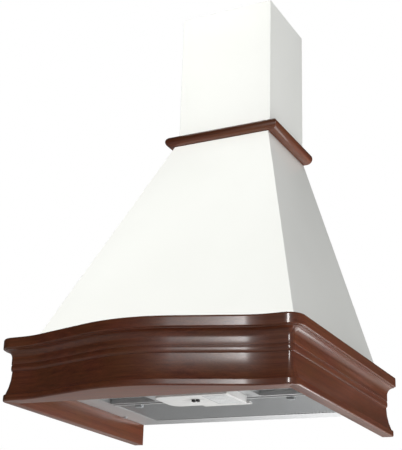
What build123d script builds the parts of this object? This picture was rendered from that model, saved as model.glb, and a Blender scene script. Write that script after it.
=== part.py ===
# Wall-hung kitchen range hood with a stained wooden cornice frame and collar.
# +X runs to the viewer's right, -Y faces the room, +Z is up.  The origin is the middle of the
# hood's footprint, level with the underside of the wooden frame.  All sizes are millimetres.
from build123d import *
import math
import os

os.makedirs("parts", exist_ok=True)

# ---------------------------------------------------------------- driving dimensions
# Wooden cornice frame round the foot of the hood
frame_width = 600.0
corner_depth = 515.0  # wall to the straight flats at the front corners
frame_height = 117.0
side_thickness = 30.5  # fascia to the plain inner face of a side arm
front_thickness = 39.0  # the same at the flats of the front rail
bow_depth = 54.0  # how far the bow stands in front of the flats
bow_half_width = 248.0
bow_radius = 300.0
reverse_radius = 150.0  # hollow curve that joins a flat to the bow
corner_radius = 28.0

# Section of the moulding, measured inwards from the fascia and upwards from the foot
fascia_height = 20.0
fascia_top_round = 4.0
fascia_foot_round = 2.0
quirk_depth = 4.0
quirk_height = 1.5
cavetto_radius = 16.0
neck_height = 7.5
astragal_height = 10.0
astragal_bulge = 3.0
cove_setback = 21.5
cove_flat = 15.0
cove_radius = 60.0
bead_setback = 7.5
bead_height = 13.0
bead_foot_round = 3.0

# Painted sheet-steel canopy
sheet = 1.2
wood_clearance = 0.5
skirt_bottom = 45.0
side_shelf = 2.0  # level step between the skirt and the foot of the slope
front_shelf = 23.5
canopy_top_width = 220.0
canopy_top_depth = 203.0
canopy_top = 608.0
skirt_flange = 14.0
back_flange = 15.0
top_opening_width = 192.0
top_opening_rear = 14.0
top_opening_front = 180.0
panel_clearance = 0.3
top_plate_sheet = 1.5

# Wall fixings in the back panel
hanging_height = 540.0
hanging_spacing = 120.0
hanging_radius = 4.0
lower_fixing_height = 150.0
lower_fixing_spacing = 380.0
lower_fixing_radius = 3.25

# Duct covers
duct_width = 216.0
duct_depth = 188.0
duct_top = 934.0
duct_sheet = 1.0
duct_return = 15.0
duct_slip = 0.5  # between the outer and the inner cover
upper_cover_lift = 6.0  # above the collar
upper_cover_setdown = 2.0  # below the rim of the lower cover
bracket_sheet = 1.5
bracket_height = 20.0
bracket_setdown = 9.0
bracket_arm = 40.0
bracket_hole_spacing = 140.0
bracket_hole_radius = 2.5

# Wooden collar
collar_height = 26.0
collar_depth = 23.0

# Underside panel, filter opening and pressed finger pockets
panel_sheet = 1.0
filter_width = 430.0
filter_rear = 46.0  # wall to the rear edge of the filter
filter_depth = 176.0
filter_side_gap = 3.5
filter_rear_gap = 3.5
filter_front_gap = 2.0
opening_lip_height = 6.0
pocket_width = 105.0
pocket_length = 58.0
pocket_height = 9.0
pocket_offset = 163.0  # middle of the hood to the middle of a pocket
pocket_lip = 8.0  # flat strip between the filter opening and a pocket
pocket_radius = 8.0
rear_upstand = 14.0
upstand_clearance = 1.0  # beside the canopy's back flanges

# Filter cassette
cassette_height = 10.0
cassette_proud = 1.4  # how far it stands below the panel
cassette_wall = 0.8
cassette_lip = 5.0
face_sheet = 0.6
slot_pitch = 7.2
slot_width = 3.6
slot_length = 5.0
hook_length = 7.0
hook_width = 16.0
hook_offset = 140.0
hook_thickness = 1.5
hook_clearance = 0.3
latch_width = 30.0
latch_length = 24.0
latch_height = 5.0
latch_tongue = 7.0
latch_travel = 8.0
latch_tab_drop = 6.0
latch_clearance = 0.3
latch_corner = 1.5
tongue_height = 2.0
tongue_width = 18.0
tongue_bevel = 1.2
tongue_root = 2.0  # how far the tongue reaches into the latch
tab_width = 15.0
tab_length = 8.4
tab_setback = 8.4  # behind the latch's rear end
cassette_corner = 3.0
face_clearance = 0.1
core_clearance = 0.3
core_corner = 2.0

# Control and lamp unit below the panel
unit_middle = 8.0
unit_width = 156.0
unit_rear = 238.0
unit_depth = 90.0
unit_height = 14.0
unit_wall = 2.0
unit_end_radius = 22.0
lip_left = -6.0
lip_right = 92.0
lip_depth = 12.0
lip_height = 4.0
knob_line = 293.0  # wall to the slots of the two sliders
speed_knob_x = 1.6
light_knob_x = 10.6
speed_travel = 24.0
light_travel = 12.0
knob_width = 5.4
knob_depth = 7.0
knob_height = 4.0
knob_stem_width = 2.6
knob_stem_depth = 2.0
knob_gap = 0.3
switch_height = 20.0
switch_margin = 3.0
lens_left = 30.0
lens_right = 80.0
lens_rear = 246.0
lens_front = 320.0
lens_fit = 0.4
lens_thickness = 1.6
lens_rib_pitch = 5.0
lens_rib_height = 0.8
bulb_radius = 15.0
bulb_length = 52.0
bulb_cap_radius = 6.8
bulb_cap_length = 22.0
bulb_globe_angle = 130.0
bulb_play = 0.3
lamp_gap = 7.0  # globe to the rear edge of the lens
holder_radius = 12.0
holder_length = 34.0
holder_depth = 24.0
holder_corner = 2.0
holder_gap = 16.0  # holder to the left edge of the lens
holder_plate = 1.5
lamp_height = 64.0
unit_foot_round = 1.5
switch_corner = 1.5
terminal_count = 5
terminal_width = 3.0
terminal_sheet = 0.8
terminal_length = 6.0
stem_reach = 4.0  # how far a knob's stem enters its switch
knob_round = 1.0
lens_rib_margin = 2.0

# Centrifugal blower
axis_height = 430.0
impeller_radius = 72.0
impeller_width = 70.0
blade_count = 36
blade_depth = 14.0
blade_thickness = 1.0
blade_ring = 3.0  # axial thickness of the ring on the inlet side
blade_ring_width = 10.0
back_disc = 2.0
disc_hole_radius = 7.0
disc_hole_circle = 36.0
disc_hole_count = 6
hub_radius = 14.0
hub_length = 26.0
hub_play = 0.05
scroll_step = 10.0  # side of the square on which the four scroll centres lie
scroll_cutoff_radius = 84.0
cutoff_angle = 62.0
scroll_width = 96.0
scroll_wall = 2.0
outlet_flange = 13.0
flange_sheet = 2.5
gasket_corner = 4.0
inlet_radius = 58.0
inlet_lip = 6.0
grille_bar = 2.5
grille_rings = (42.0, 23.0)  # radii of the inner rings
motor_radius = 44.0
motor_length = 58.0
motor_flange_radius = 57.0
motor_flange_sheet = 3.0
motor_end_round = 6.0
motor_rib_count = 12
motor_rib_width = 4.0
motor_rib_height = 1.5
motor_rib_length = 48.0
boss_gap = 5.0  # impeller to the motor's front boss
boss_radius = 20.0
shaft_end = 3.0  # what stands out behind the motor
shaft_bevel = 0.6
motor_hole_radius = 24.0
motor_bolt_radius = 50.5
motor_bolt_count = 3
motor_screw_end = 1.0
grommet_radius = 7.0
grommet_height = 4.0
shaft_radius = 4.0
shaft_play = 0.3
bearing_play = 0.04
bearing_radius = 11.0
bearing_length = 8.0

# Outlet spigot and its pair of non-return flaps
spigot_setback = 95.0  # wall to the middle of the outlet
spigot_radius = 60.0
spigot_wall = 1.5
spigot_height = 52.0
spigot_flange_radius = 70.0
gasket_height = 1.5
flap_height = 15.0  # spigot flange to the flap spindle
flap_gap = 1.0
flap_sheet = 1.0
flap_seat_width = 3.5
spindle_radius = 1.5
knuckle_radius = 3.0
knuckle_play = 0.05
knuckle_gap = 0.3
knuckle_length = 16.0
knuckle_pitch = 24.0
flap_root_gap = 0.4  # knuckle to the straight edge of the sheet
seat_root = 0.2  # how far the seat enters the spigot's wall

# Electrical pieces
box_width = 80.0
box_height = 60.0
box_depth = 34.0
box_wall = 2.0
box_corner = 3.0
box_x = -115.0
box_bottom = 225.0
strip_height = 16.0
strip_depth = 16.0
strip_margin = 6.0  # box side to the strip
strip_hole_radius = 2.2
strip_hole_depth = 6.0
strip_hole_pitch = (10.0, 8.0)
strip_hole_count = (6, 2)
tag_width = 6.0
tag_sheet = 0.8
tag_length = 8.0
capacitor_width = 48.0
capacitor_height = 36.0
capacitor_depth = 24.0
capacitor_x = 120.0
gland_x = -84.0
gland_setback = 55.0
gland_radius = 8.0
gland_bore_radius = 3.8
gland_drop = 6.0  # below the top plate
gland_rise = 4.0  # above it
gland_rim = 2.0
gland_round = 1.5

# Fasteners
screw_radius = 2.0
screw_head_radius = 4.0
screw_head_height = 2.0
screw_head_bevel = 0.8
screw_play = 0.1
screw_end = 2.0  # what stands out behind the last sheet
frame_screw_height = 84.0
frame_screw_bite = 7.0
frame_screw_spacing = 190.0  # along the front rail
arm_screw_shares = (0.15, 0.5, 0.85)  # along each side arm
collar_screw_bite = 11.5
collar_screw_spacing = 108.0
collar_side_shares = (0.3, 0.75)
panel_screw_shares = (0.2, 0.65)
drill_overrun = 1.0  # how much deeper a hole is than its screw
dowel_radius = 3.0
dowel_length = 24.0

# Cutters
cut = 1.0  # how far a cut runs past the face it leaves
cutter_overrun = 10.0  # how far a moulding cutter runs past the stock

# ---------------------------------------------------------------- places worked out from them
wall_y = (corner_depth + bow_depth) / 2
half_frame = frame_width / 2
inner_half = half_frame - side_thickness
front_inner = corner_depth - front_thickness
skirt_width = 2 * (inner_half - wood_clearance)
skirt_depth = front_inner - wood_clearance
canopy_base_width = skirt_width - 2 * side_shelf
canopy_base_depth = skirt_depth - front_shelf
panel_bottom = skirt_bottom - panel_sheet
upper_cover_bottom = canopy_top + collar_height + upper_cover_lift


def from_wall(distance):
    """The y of a place this far in front of the wall."""
    return wall_y - distance


def wall_plane(distance):
    """Upright plane parallel to the wall: its x is +X, its y is +Z, and it faces the room."""
    return Plane.XZ.offset(-from_wall(distance))


def level(height):
    """Horizontal plane at this height."""
    return Plane.XY.offset(height)


def block(x_range, wall_range, z_range, mode=Mode.ADD):
    """A box between two x values, two distances from the wall and two heights."""
    x_low, x_high = x_range
    near, far = wall_range
    z_low, z_high = z_range
    with Locations(((x_low + x_high) / 2, from_wall((near + far) / 2), (z_low + z_high) / 2)):
        Box(x_high - x_low, far - near, z_high - z_low, mode=mode)


def wall_rectangle(width, depth, behind=0.0):
    """Rectangle from the wall (or behind it) out to this depth, centred on the hood."""
    with Locations((0, from_wall(depth))):
        Rectangle(width, depth + behind, align=(Align.CENTER, Align.MIN))


def save(part, name):
    """Names a finished piece and writes it."""
    part.part.label = name
    export_step(part.part, f"parts/{name}.step")


# ---------------------------------------------------------------- wooden frame
# The bow leaves each flat by a hollow arc, runs straight, and crowns in one large arc.
radius_sum = reverse_radius + bow_radius
centre_distance = math.hypot(bow_half_width, radius_sum - bow_depth)
bow_angle = math.degrees(
    math.asin(radius_sum / centre_distance) - math.atan2(radius_sum - bow_depth, bow_half_width)
)
bow_straight = math.sqrt(bow_half_width**2 + bow_depth**2 - 2 * radius_sum * bow_depth)


def fascia_line(overrun=0.0):
    """The front edge of the fascia in plan, from left to right."""
    y_flat = from_wall(corner_depth)
    first = Line((-half_frame - overrun, y_flat), (-bow_half_width, y_flat))
    hollow_in = JernArc(first @ 1, (1, 0), reverse_radius, -bow_angle)
    run_in = PolarLine(hollow_in @ 1, bow_straight, -bow_angle)
    crown = JernArc(run_in @ 1, run_in % 1, bow_radius, 2 * bow_angle)
    run_out = PolarLine(crown @ 1, bow_straight, bow_angle)
    hollow_out = JernArc(run_out @ 1, run_out % 1, reverse_radius, -bow_angle)
    return Line(hollow_out @ 1, (half_frame + overrun, y_flat))


def moulding_waste(plane):
    """What the cutters take off the stock: x is outwards from the fascia, y is up."""
    fascia_foot = frame_height - fascia_height
    cavetto_top = fascia_foot - quirk_height
    neck_x = -quirk_depth - cavetto_radius
    neck_top = cavetto_top - cavetto_radius
    astragal_top = neck_top - neck_height
    astragal_foot = astragal_top - astragal_height
    cove_start = astragal_foot - cove_flat
    cove_drop = cove_start - bead_height
    cove_foot_x = -cove_setback + cove_radius - math.sqrt(cove_radius**2 - cove_drop**2)
    bead_round = -bead_setback - cove_foot_x
    outside = 2 * cutter_overrun
    with BuildSketch(plane) as waste:
        with BuildLine():
            top = Line((outside, frame_height + outside), (-fascia_top_round, frame_height + outside))
            drop = Line(top @ 1, (-fascia_top_round, frame_height))
            shoulder = RadiusArc(drop @ 1, (0, frame_height - fascia_top_round), fascia_top_round)
            face = Line(shoulder @ 1, (0, fascia_foot + fascia_foot_round))
            foot = RadiusArc(face @ 1, (-fascia_foot_round, fascia_foot), fascia_foot_round)
            quirk = Polyline(foot @ 1, (-quirk_depth, fascia_foot), (-quirk_depth, cavetto_top))
            cavetto = RadiusArc(quirk @ 1, (neck_x, neck_top), -cavetto_radius)
            neck = Line(cavetto @ 1, (neck_x, astragal_top))
            astragal = ThreePointArc(
                neck @ 1,
                (neck_x + astragal_bulge, (astragal_top + astragal_foot) / 2),
                (neck_x, astragal_foot),
            )
            step = Polyline(astragal @ 1, (-cove_setback, astragal_foot), (-cove_setback, cove_start))
            cove = RadiusArc(step @ 1, (cove_foot_x, bead_height), -cove_radius)
            bead = RadiusArc(cove @ 1, (-bead_setback, bead_height - bead_round), bead_round)
            face_low = Line(bead @ 1, (-bead_setback, bead_foot_round))
            heel = RadiusArc(face_low @ 1, (-bead_setback - bead_foot_round, 0), bead_foot_round)
            Polyline(heel @ 1, (heel @ 1) - (0, outside), (outside, -outside), top @ 0)
        make_face()
    return waste.sketch


def corner_waste():
    """The two sharp front corners outside the rounded fascia, over the full height."""
    y_flat = from_wall(corner_depth)
    with BuildSketch() as corners:
        for side in (-1, 1):
            with BuildLine():
                start = (side * (half_frame - corner_radius), y_flat)
                end = (side * half_frame, y_flat + corner_radius)
                RadiusArc(start, end, -side * corner_radius)
                Polyline(end, (side * half_frame, y_flat), start)
            make_face()
    return corners.sketch


with BuildPart() as front_moulding:
    with BuildSketch():
        with BuildLine():
            last = fascia_line()
            inner_mitre = from_wall(corner_depth - side_thickness)
            inner_face = from_wall(front_inner)
            Polyline(
                last @ 1,
                (inner_half, inner_mitre),
                (inner_half, inner_face),
                (-inner_half, inner_face),
                (-inner_half, inner_mitre),
                (-half_frame, from_wall(corner_depth)),
            )
        make_face()
    extrude(amount=frame_height)
    with BuildLine(mode=Mode.PRIVATE) as fascia_path:
        fascia_line(overrun=cutter_overrun)
    section_start = fascia_path.wire() @ 0
    section_plane = Plane(origin=(section_start.X, section_start.Y, 0), x_dir=(0, -1, 0), z_dir=(-1, 0, 0))
    sweep(sections=moulding_waste(section_plane), path=fascia_path.wire(), mode=Mode.SUBTRACT)
    extrude(to_extrude=corner_waste(), amount=frame_height, mode=Mode.SUBTRACT)


def side_moulding(side):
    """One side arm, mitred to the front rail; side is -1 on the left and 1 on the right."""
    with BuildPart() as arm:
        with BuildSketch():
            with BuildLine():
                Polyline(
                    (side * inner_half, wall_y),
                    (side * half_frame, wall_y),
                    (side * half_frame, from_wall(corner_depth)),
                    (side * inner_half, from_wall(corner_depth - side_thickness)),
                    close=True,
                )
            make_face()
        extrude(amount=frame_height)
        end_plane = Plane(
            origin=(side * half_frame, wall_y + cutter_overrun, 0), x_dir=(side, 0, 0), z_dir=(0, -side, 0)
        )
        extrude(
            to_extrude=moulding_waste(end_plane),
            amount=side * (corner_depth + 2 * cutter_overrun),
            mode=Mode.SUBTRACT,
        )
        extrude(to_extrude=corner_waste(), amount=frame_height, mode=Mode.SUBTRACT)
    return arm


left_side_moulding = side_moulding(-1)
right_side_moulding = side_moulding(1)

# ---------------------------------------------------------------- mitre dowels and frame screws
dowel_height = frame_height - fascia_height / 2
mitre_middle = half_frame - side_thickness / 2 - dowel_radius
mitre_middle_depth = corner_depth - (half_frame - mitre_middle)


def dowel_plane(side):
    """Plane through the middle of a mitre joint, square to its dowel."""
    middle = (side * mitre_middle, from_wall(mitre_middle_depth), dowel_height)
    return Plane(origin=middle, z_dir=(side, 1, 0))


with BuildPart() as mitre_dowels:
    for side in (-1, 1):
        with BuildSketch(dowel_plane(side)):
            Circle(dowel_radius)
        extrude(amount=dowel_length / 2, both=True)


def drill_dowels(piece):
    """Takes the dowel holes out of a wooden piece."""
    with BuildPart() as drilled:
        add(piece.part)
        for side in (-1, 1):
            with BuildSketch(dowel_plane(side)):
                Circle(dowel_radius)
            extrude(amount=dowel_length / 2, both=True, mode=Mode.SUBTRACT)
    return drilled


def screw(plane, shank_length, head_above=0.0):
    """A pan-head screw: the plane lies under its head and faces away from the shank."""
    with BuildPart(mode=Mode.PRIVATE) as made:
        with BuildSketch(plane.offset(head_above)):
            Circle(screw_head_radius)
        extrude(amount=screw_head_height)
        rims = made.edges().filter_by(GeomType.CIRCLE)
        chamfer(rims.sort_by(Axis(plane.origin, plane.z_dir))[-1], screw_head_bevel)
        with BuildSketch(plane):
            Circle(screw_radius)
        extrude(amount=-shank_length)
    return made.part


skirt_inner_half = skirt_width / 2 - sheet
skirt_inner_front = skirt_depth - sheet
frame_screw_length = sheet + wood_clearance + frame_screw_bite
frame_screw_planes = [
    Plane(origin=(x, from_wall(skirt_inner_front), frame_screw_height), z_dir=(0, 1, 0))
    for x in (-frame_screw_spacing, 0, frame_screw_spacing)
]
for side in (-1, 1):
    for share in arm_screw_shares:
        seat = (side * skirt_inner_half, from_wall(front_inner * share), frame_screw_height)
        frame_screw_planes.append(Plane(origin=seat, z_dir=(-side, 0, 0)))

with BuildPart() as frame_screws:
    for place in frame_screw_planes:
        add(screw(place, frame_screw_length))


def drill_screws(piece, places, depth):
    """Drills a clearance hole for each screw of a group."""
    with BuildPart() as drilled:
        add(piece.part)
        for place in places:
            with BuildSketch(place):
                Circle(screw_radius + screw_play)
            extrude(amount=-depth, mode=Mode.SUBTRACT)
    return drilled


pilot_depth = frame_screw_length + drill_overrun
front_moulding = drill_screws(drill_dowels(front_moulding), frame_screw_planes, pilot_depth)
left_side_moulding = drill_screws(drill_dowels(left_side_moulding), frame_screw_planes, pilot_depth)
right_side_moulding = drill_screws(drill_dowels(right_side_moulding), frame_screw_planes, pilot_depth)

save(front_moulding, "front_moulding")
save(left_side_moulding, "left_side_moulding")
save(right_side_moulding, "right_side_moulding")
save(mitre_dowels, "mitre_dowels")
save(frame_screws, "frame_screws")

# ---------------------------------------------------------------- canopy
def back_outline(inset, foot_inset=0.0):
    """Outline of the canopy's back, set in from the outside of the sheet."""
    skirt_x = skirt_width / 2 - inset
    base_x = canopy_base_width / 2 - inset
    top_x = canopy_top_width / 2 - inset
    return [
        (-skirt_x, skirt_bottom + foot_inset),
        (-skirt_x, frame_height - inset),
        (-base_x, frame_height - inset),
        (-top_x, canopy_top - inset),
        (top_x, canopy_top - inset),
        (base_x, frame_height - inset),
        (skirt_x, frame_height - inset),
        (skirt_x, skirt_bottom + foot_inset),
    ]


with BuildPart() as canopy_shell:
    with BuildSketch(level(skirt_bottom)):
        wall_rectangle(skirt_width, skirt_depth)
    extrude(amount=frame_height - skirt_bottom)
    with BuildSketch(level(frame_height)):
        wall_rectangle(canopy_base_width, canopy_base_depth)
    with BuildSketch(level(canopy_top)):
        wall_rectangle(canopy_top_width, canopy_top_depth)
    loft()
    # the hollow, open at the back
    with BuildSketch(level(skirt_bottom + sheet)):
        wall_rectangle(skirt_width - 2 * sheet, skirt_depth - sheet, behind=cut)
    extrude(amount=frame_height - skirt_bottom - 2 * sheet, mode=Mode.SUBTRACT)
    with BuildSketch(level(frame_height - sheet)):
        wall_rectangle(canopy_base_width - 2 * sheet, canopy_base_depth - sheet, behind=cut)
    extrude(amount=sheet, mode=Mode.SUBTRACT)
    with BuildSketch(level(frame_height)):
        wall_rectangle(canopy_base_width - 2 * sheet, canopy_base_depth - sheet, behind=cut)
    with BuildSketch(level(canopy_top - sheet)):
        wall_rectangle(canopy_top_width - 2 * sheet, canopy_top_depth - sheet, behind=cut)
    loft(mode=Mode.SUBTRACT)
    # the top flange that carries the duct cover, and the bottom flange that carries the panel
    block(
        (-top_opening_width / 2, top_opening_width / 2),
        (top_opening_rear, top_opening_front),
        (canopy_top - sheet - cut, canopy_top + cut),
        mode=Mode.SUBTRACT,
    )
    block(
        (skirt_flange - skirt_width / 2, skirt_width / 2 - skirt_flange),
        (-cut, skirt_depth - skirt_flange),
        (skirt_bottom - cut, skirt_bottom + sheet + cut),
        mode=Mode.SUBTRACT,
    )
    # the return flanges down both sides of the back
    with BuildSketch(wall_plane(sheet)):
        with BuildLine():
            Polyline(*back_outline(sheet / 2), close=True)
        make_face()
        with BuildLine():
            Polyline(*back_outline(back_flange), close=True)
        make_face(mode=Mode.SUBTRACT)
        with Locations((0, skirt_bottom)):
            Rectangle(skirt_width - 2 * back_flange, 2 * sheet, mode=Mode.SUBTRACT)
    extrude(amount=sheet)

canopy_shell = drill_screws(canopy_shell, frame_screw_planes, 2 * sheet)

with BuildPart() as canopy_back_panel:
    with BuildSketch(wall_plane(0)):
        with BuildLine():
            Polyline(*back_outline(sheet + panel_clearance, sheet + panel_clearance), close=True)
        make_face()
        with Locations((-hanging_spacing / 2, hanging_height), (hanging_spacing / 2, hanging_height)):
            Circle(hanging_radius, mode=Mode.SUBTRACT)
        with Locations(
            (-lower_fixing_spacing / 2, lower_fixing_height), (lower_fixing_spacing / 2, lower_fixing_height)
        ):
            Circle(lower_fixing_radius, mode=Mode.SUBTRACT)
    extrude(amount=sheet)

top_plate_top = canopy_top - sheet
top_plate_bottom = top_plate_top - top_plate_sheet
top_plate_half = canopy_top_width / 2 - sheet - panel_clearance

save(canopy_back_panel, "canopy_back_panel")

# ---------------------------------------------------------------- duct covers
def open_box(width, depth, bottom, top, thickness, slack=0.0):
    """Three-sided sheet cover with return flanges along the wall."""
    with BuildPart() as cover:
        with BuildSketch(level(bottom)):
            with Locations((0, from_wall(depth))):
                Rectangle(width, depth - slack, align=(Align.CENTER, Align.MIN))
            with Locations((0, from_wall(depth - thickness))):
                Rectangle(
                    width - 2 * thickness,
                    depth - slack - 2 * thickness,
                    align=(Align.CENTER, Align.MIN),
                    mode=Mode.SUBTRACT,
                )
            with Locations((0, from_wall(slack - cut))):
                Rectangle(
                    width - 2 * duct_return,
                    thickness + 2 * cut,
                    align=(Align.CENTER, Align.MAX),
                    mode=Mode.SUBTRACT,
                )
        extrude(amount=top - bottom)
    return cover


inner_cover_width = duct_width - 2 * duct_sheet - 2 * duct_slip
inner_cover_depth = duct_depth - duct_sheet - duct_slip
inner_cover_slack = duct_sheet + duct_slip
inner_cover_top = duct_top - upper_cover_setdown
lower_duct_cover = open_box(duct_width, duct_depth, canopy_top, duct_top, duct_sheet)
upper_duct_cover = open_box(
    inner_cover_width, inner_cover_depth, upper_cover_bottom, inner_cover_top, duct_sheet, inner_cover_slack
)

bracket_top = inner_cover_top - bracket_setdown
bracket_half = inner_cover_width / 2 - duct_sheet
bracket_rear = inner_cover_slack + duct_sheet
with BuildPart() as cover_bracket:
    block((-bracket_half, bracket_half), (bracket_rear, bracket_rear + bracket_arm),
          (bracket_top - bracket_height, bracket_top))
    block(
        (bracket_sheet - bracket_half, bracket_half - bracket_sheet),
        (bracket_rear + bracket_sheet, bracket_rear + bracket_arm + cut),
        (bracket_top - bracket_height - cut, bracket_top + cut),
        mode=Mode.SUBTRACT,
    )
    with BuildSketch(wall_plane(bracket_rear)):
        middle_height = bracket_top - bracket_height / 2
        with Locations((-bracket_hole_spacing / 2, middle_height), (bracket_hole_spacing / 2, middle_height)):
            Circle(bracket_hole_radius)
    extrude(amount=bracket_sheet, mode=Mode.SUBTRACT)

save(upper_duct_cover, "upper_duct_cover")
save(cover_bracket, "cover_bracket")

# ---------------------------------------------------------------- wooden collar
def collar_section(plane):
    """Half-round strip: x is outwards from the duct, y is up."""
    nose = collar_height / 2
    with BuildSketch(plane) as section:
        with BuildLine():
            foot = Line((0, 0), (collar_depth - nose, 0))
            bow = ThreePointArc(foot @ 1, (collar_depth, nose), (collar_depth - nose, collar_height))
            Polyline(bow @ 1, (0, collar_height), (0, 0))
        make_face()
    return section.sketch


collar_reach = collar_depth + cutter_overrun
with BuildPart() as collar_front:
    front_end = Plane(
        origin=(-duct_width / 2 - collar_reach, from_wall(duct_depth), canopy_top),
        x_dir=(0, -1, 0),
        z_dir=(-1, 0, 0),
    )
    extrude(to_extrude=collar_section(front_end), amount=-(duct_width + 2 * collar_reach))
    for side in (-1, 1):
        corner = Plane(origin=(side * duct_width / 2, from_wall(duct_depth), 0), z_dir=(side, 1, 0))
        split(bisect_by=corner, keep=Keep.BOTTOM)


def collar_side(side):
    """The side strip of the collar, mitred to the front one."""
    with BuildPart() as strip:
        wall_end = Plane(
            origin=(side * duct_width / 2, wall_y, canopy_top), x_dir=(side, 0, 0), z_dir=(0, -side, 0)
        )
        extrude(to_extrude=collar_section(wall_end), amount=side * (duct_depth + collar_reach))
        corner = Plane(origin=(side * duct_width / 2, from_wall(duct_depth), 0), z_dir=(side, 1, 0))
        split(bisect_by=corner, keep=Keep.TOP)
    return strip


collar_left = collar_side(-1)
collar_right = collar_side(1)

collar_screw_length = duct_sheet + collar_screw_bite
collar_screw_height = canopy_top + collar_height / 2
collar_screw_planes = [
    Plane(origin=(x, from_wall(duct_depth - duct_sheet), collar_screw_height), z_dir=(0, 1, 0))
    for x in (-collar_screw_spacing / 2, collar_screw_spacing / 2)
]
for side in (-1, 1):
    for share in collar_side_shares:
        seat = (side * (duct_width / 2 - duct_sheet), from_wall(duct_depth * share), collar_screw_height)
        collar_screw_planes.append(Plane(origin=seat, z_dir=(-side, 0, 0)))
with BuildPart() as collar_screws:
    for place in collar_screw_planes:
        add(screw(place, collar_screw_length))
collar_bore = collar_screw_length + drill_overrun
collar_front = drill_screws(collar_front, collar_screw_planes, collar_bore)
collar_left = drill_screws(collar_left, collar_screw_planes, collar_bore)
collar_right = drill_screws(collar_right, collar_screw_planes, collar_bore)
lower_duct_cover = drill_screws(lower_duct_cover, collar_screw_planes, collar_bore)

save(lower_duct_cover, "lower_duct_cover")
save(collar_front, "collar_front")
save(collar_left, "collar_left")
save(collar_right, "collar_right")
save(collar_screws, "collar_screws")

# ---------------------------------------------------------------- underside panel
panel_top = panel_bottom + panel_sheet
filter_front = filter_rear + filter_depth
opening_half = filter_width / 2 + filter_side_gap
opening_rear = filter_rear - filter_rear_gap
opening_front = filter_front + filter_front_gap
pocket_rear = opening_front + pocket_lip
unit_left = unit_middle - unit_width / 2
unit_right = unit_middle + unit_width / 2
unit_front = unit_rear + unit_depth
unit_bottom = panel_bottom - unit_height
unit_floor = unit_bottom + unit_wall
slot_margin = knob_stem_width / 2 + knob_gap
speed_slot = (speed_knob_x - speed_travel - slot_margin, speed_knob_x + slot_margin)
light_slot = (light_knob_x - slot_margin, light_knob_x + light_travel + slot_margin)
slot_line = (knob_line - knob_stem_depth / 2 - knob_gap, knob_line + knob_stem_depth / 2 + knob_gap)
switch_x = (speed_slot[0] - switch_margin, light_slot[1] + switch_margin)
switch_line = (slot_line[0] - switch_margin, slot_line[1] + switch_margin)
panel_screw_planes = []
for side in (-1, 1):
    for share in panel_screw_shares:
        seat = (side * (skirt_width - skirt_flange) / 2, from_wall(skirt_depth * share), panel_bottom)
        panel_screw_planes.append(Plane(origin=seat, z_dir=(0, 0, -1)))
    seat = (side * skirt_width / 4, from_wall(skirt_depth - skirt_flange / 2), panel_bottom)
    panel_screw_planes.append(Plane(origin=seat, z_dir=(0, 0, -1)))

with BuildPart() as underside_panel:
    with BuildSketch(level(panel_bottom)):
        wall_rectangle(skirt_width, skirt_depth)
    extrude(amount=panel_sheet)
    # finger pockets, pressed upwards in front of the filter
    for side in (-1, 1):
        pocket_place = (side * pocket_offset, from_wall(pocket_rear + pocket_length / 2))
        with BuildSketch(level(panel_bottom)):
            with Locations(pocket_place):
                RectangleRounded(
                    pocket_width + 2 * panel_sheet,
                    pocket_length + 2 * panel_sheet,
                    pocket_radius + panel_sheet,
                )
        extrude(amount=pocket_height + panel_sheet)
        with BuildSketch(level(panel_bottom)):
            with Locations(pocket_place):
                RectangleRounded(pocket_width, pocket_length, pocket_radius)
        extrude(amount=pocket_height, mode=Mode.SUBTRACT)
    # the filter opening with a stiffening lip along each side
    block(
        (-opening_half, opening_half),
        (opening_rear, opening_front),
        (panel_bottom - cut, panel_top + cut),
        mode=Mode.SUBTRACT,
    )
    for side in (-1, 1):
        lip_x = sorted((side * opening_half, side * (opening_half + panel_sheet)))
        block(lip_x, (opening_rear, opening_front), (panel_bottom, panel_top + opening_lip_height))
    # openings for the switch block and the lamp
    block(
        (switch_x[0] - panel_clearance, switch_x[1] + panel_clearance),
        (switch_line[0] - panel_clearance, switch_line[1] + panel_clearance),
        (panel_bottom - cut, panel_top + cut),
        mode=Mode.SUBTRACT,
    )
    block(
        (lens_left, lens_right),
        (lens_rear, lens_front),
        (panel_bottom - cut, panel_top + cut),
        mode=Mode.SUBTRACT,
    )
    # upstand along the wall
    block(
        (back_flange + upstand_clearance - skirt_width / 2, skirt_width / 2 - back_flange - upstand_clearance),
        (sheet + panel_clearance, sheet + panel_clearance + panel_sheet),
        (panel_bottom, panel_bottom + rear_upstand),
    )

panel_screw_length = panel_sheet + sheet + screw_end
with BuildPart() as panel_screws:
    for place in panel_screw_planes:
        add(screw(place, panel_screw_length))
underside_panel = drill_screws(underside_panel, panel_screw_planes, 2 * panel_sheet)
canopy_shell = drill_screws(canopy_shell, panel_screw_planes, panel_screw_length)
save(canopy_shell, "canopy_shell")
save(underside_panel, "underside_panel")
save(panel_screws, "panel_screws")

# ---------------------------------------------------------------- grease filter cassette
cassette_bottom = panel_bottom - cassette_proud
cassette_top = cassette_bottom + cassette_height
cassette_half = filter_width / 2
face_bottom = cassette_bottom + cassette_wall
face_top = face_bottom + face_sheet
latch_front = filter_front - cassette_wall - latch_clearance
latch_rear = latch_front - latch_length
divider_front = latch_rear - latch_travel - latch_clearance
tongue_bottom = panel_top + latch_clearance
latch_bottom = face_top + latch_clearance
tab_rear = latch_rear + tab_setback
tab_front = tab_rear + tab_length

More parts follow.
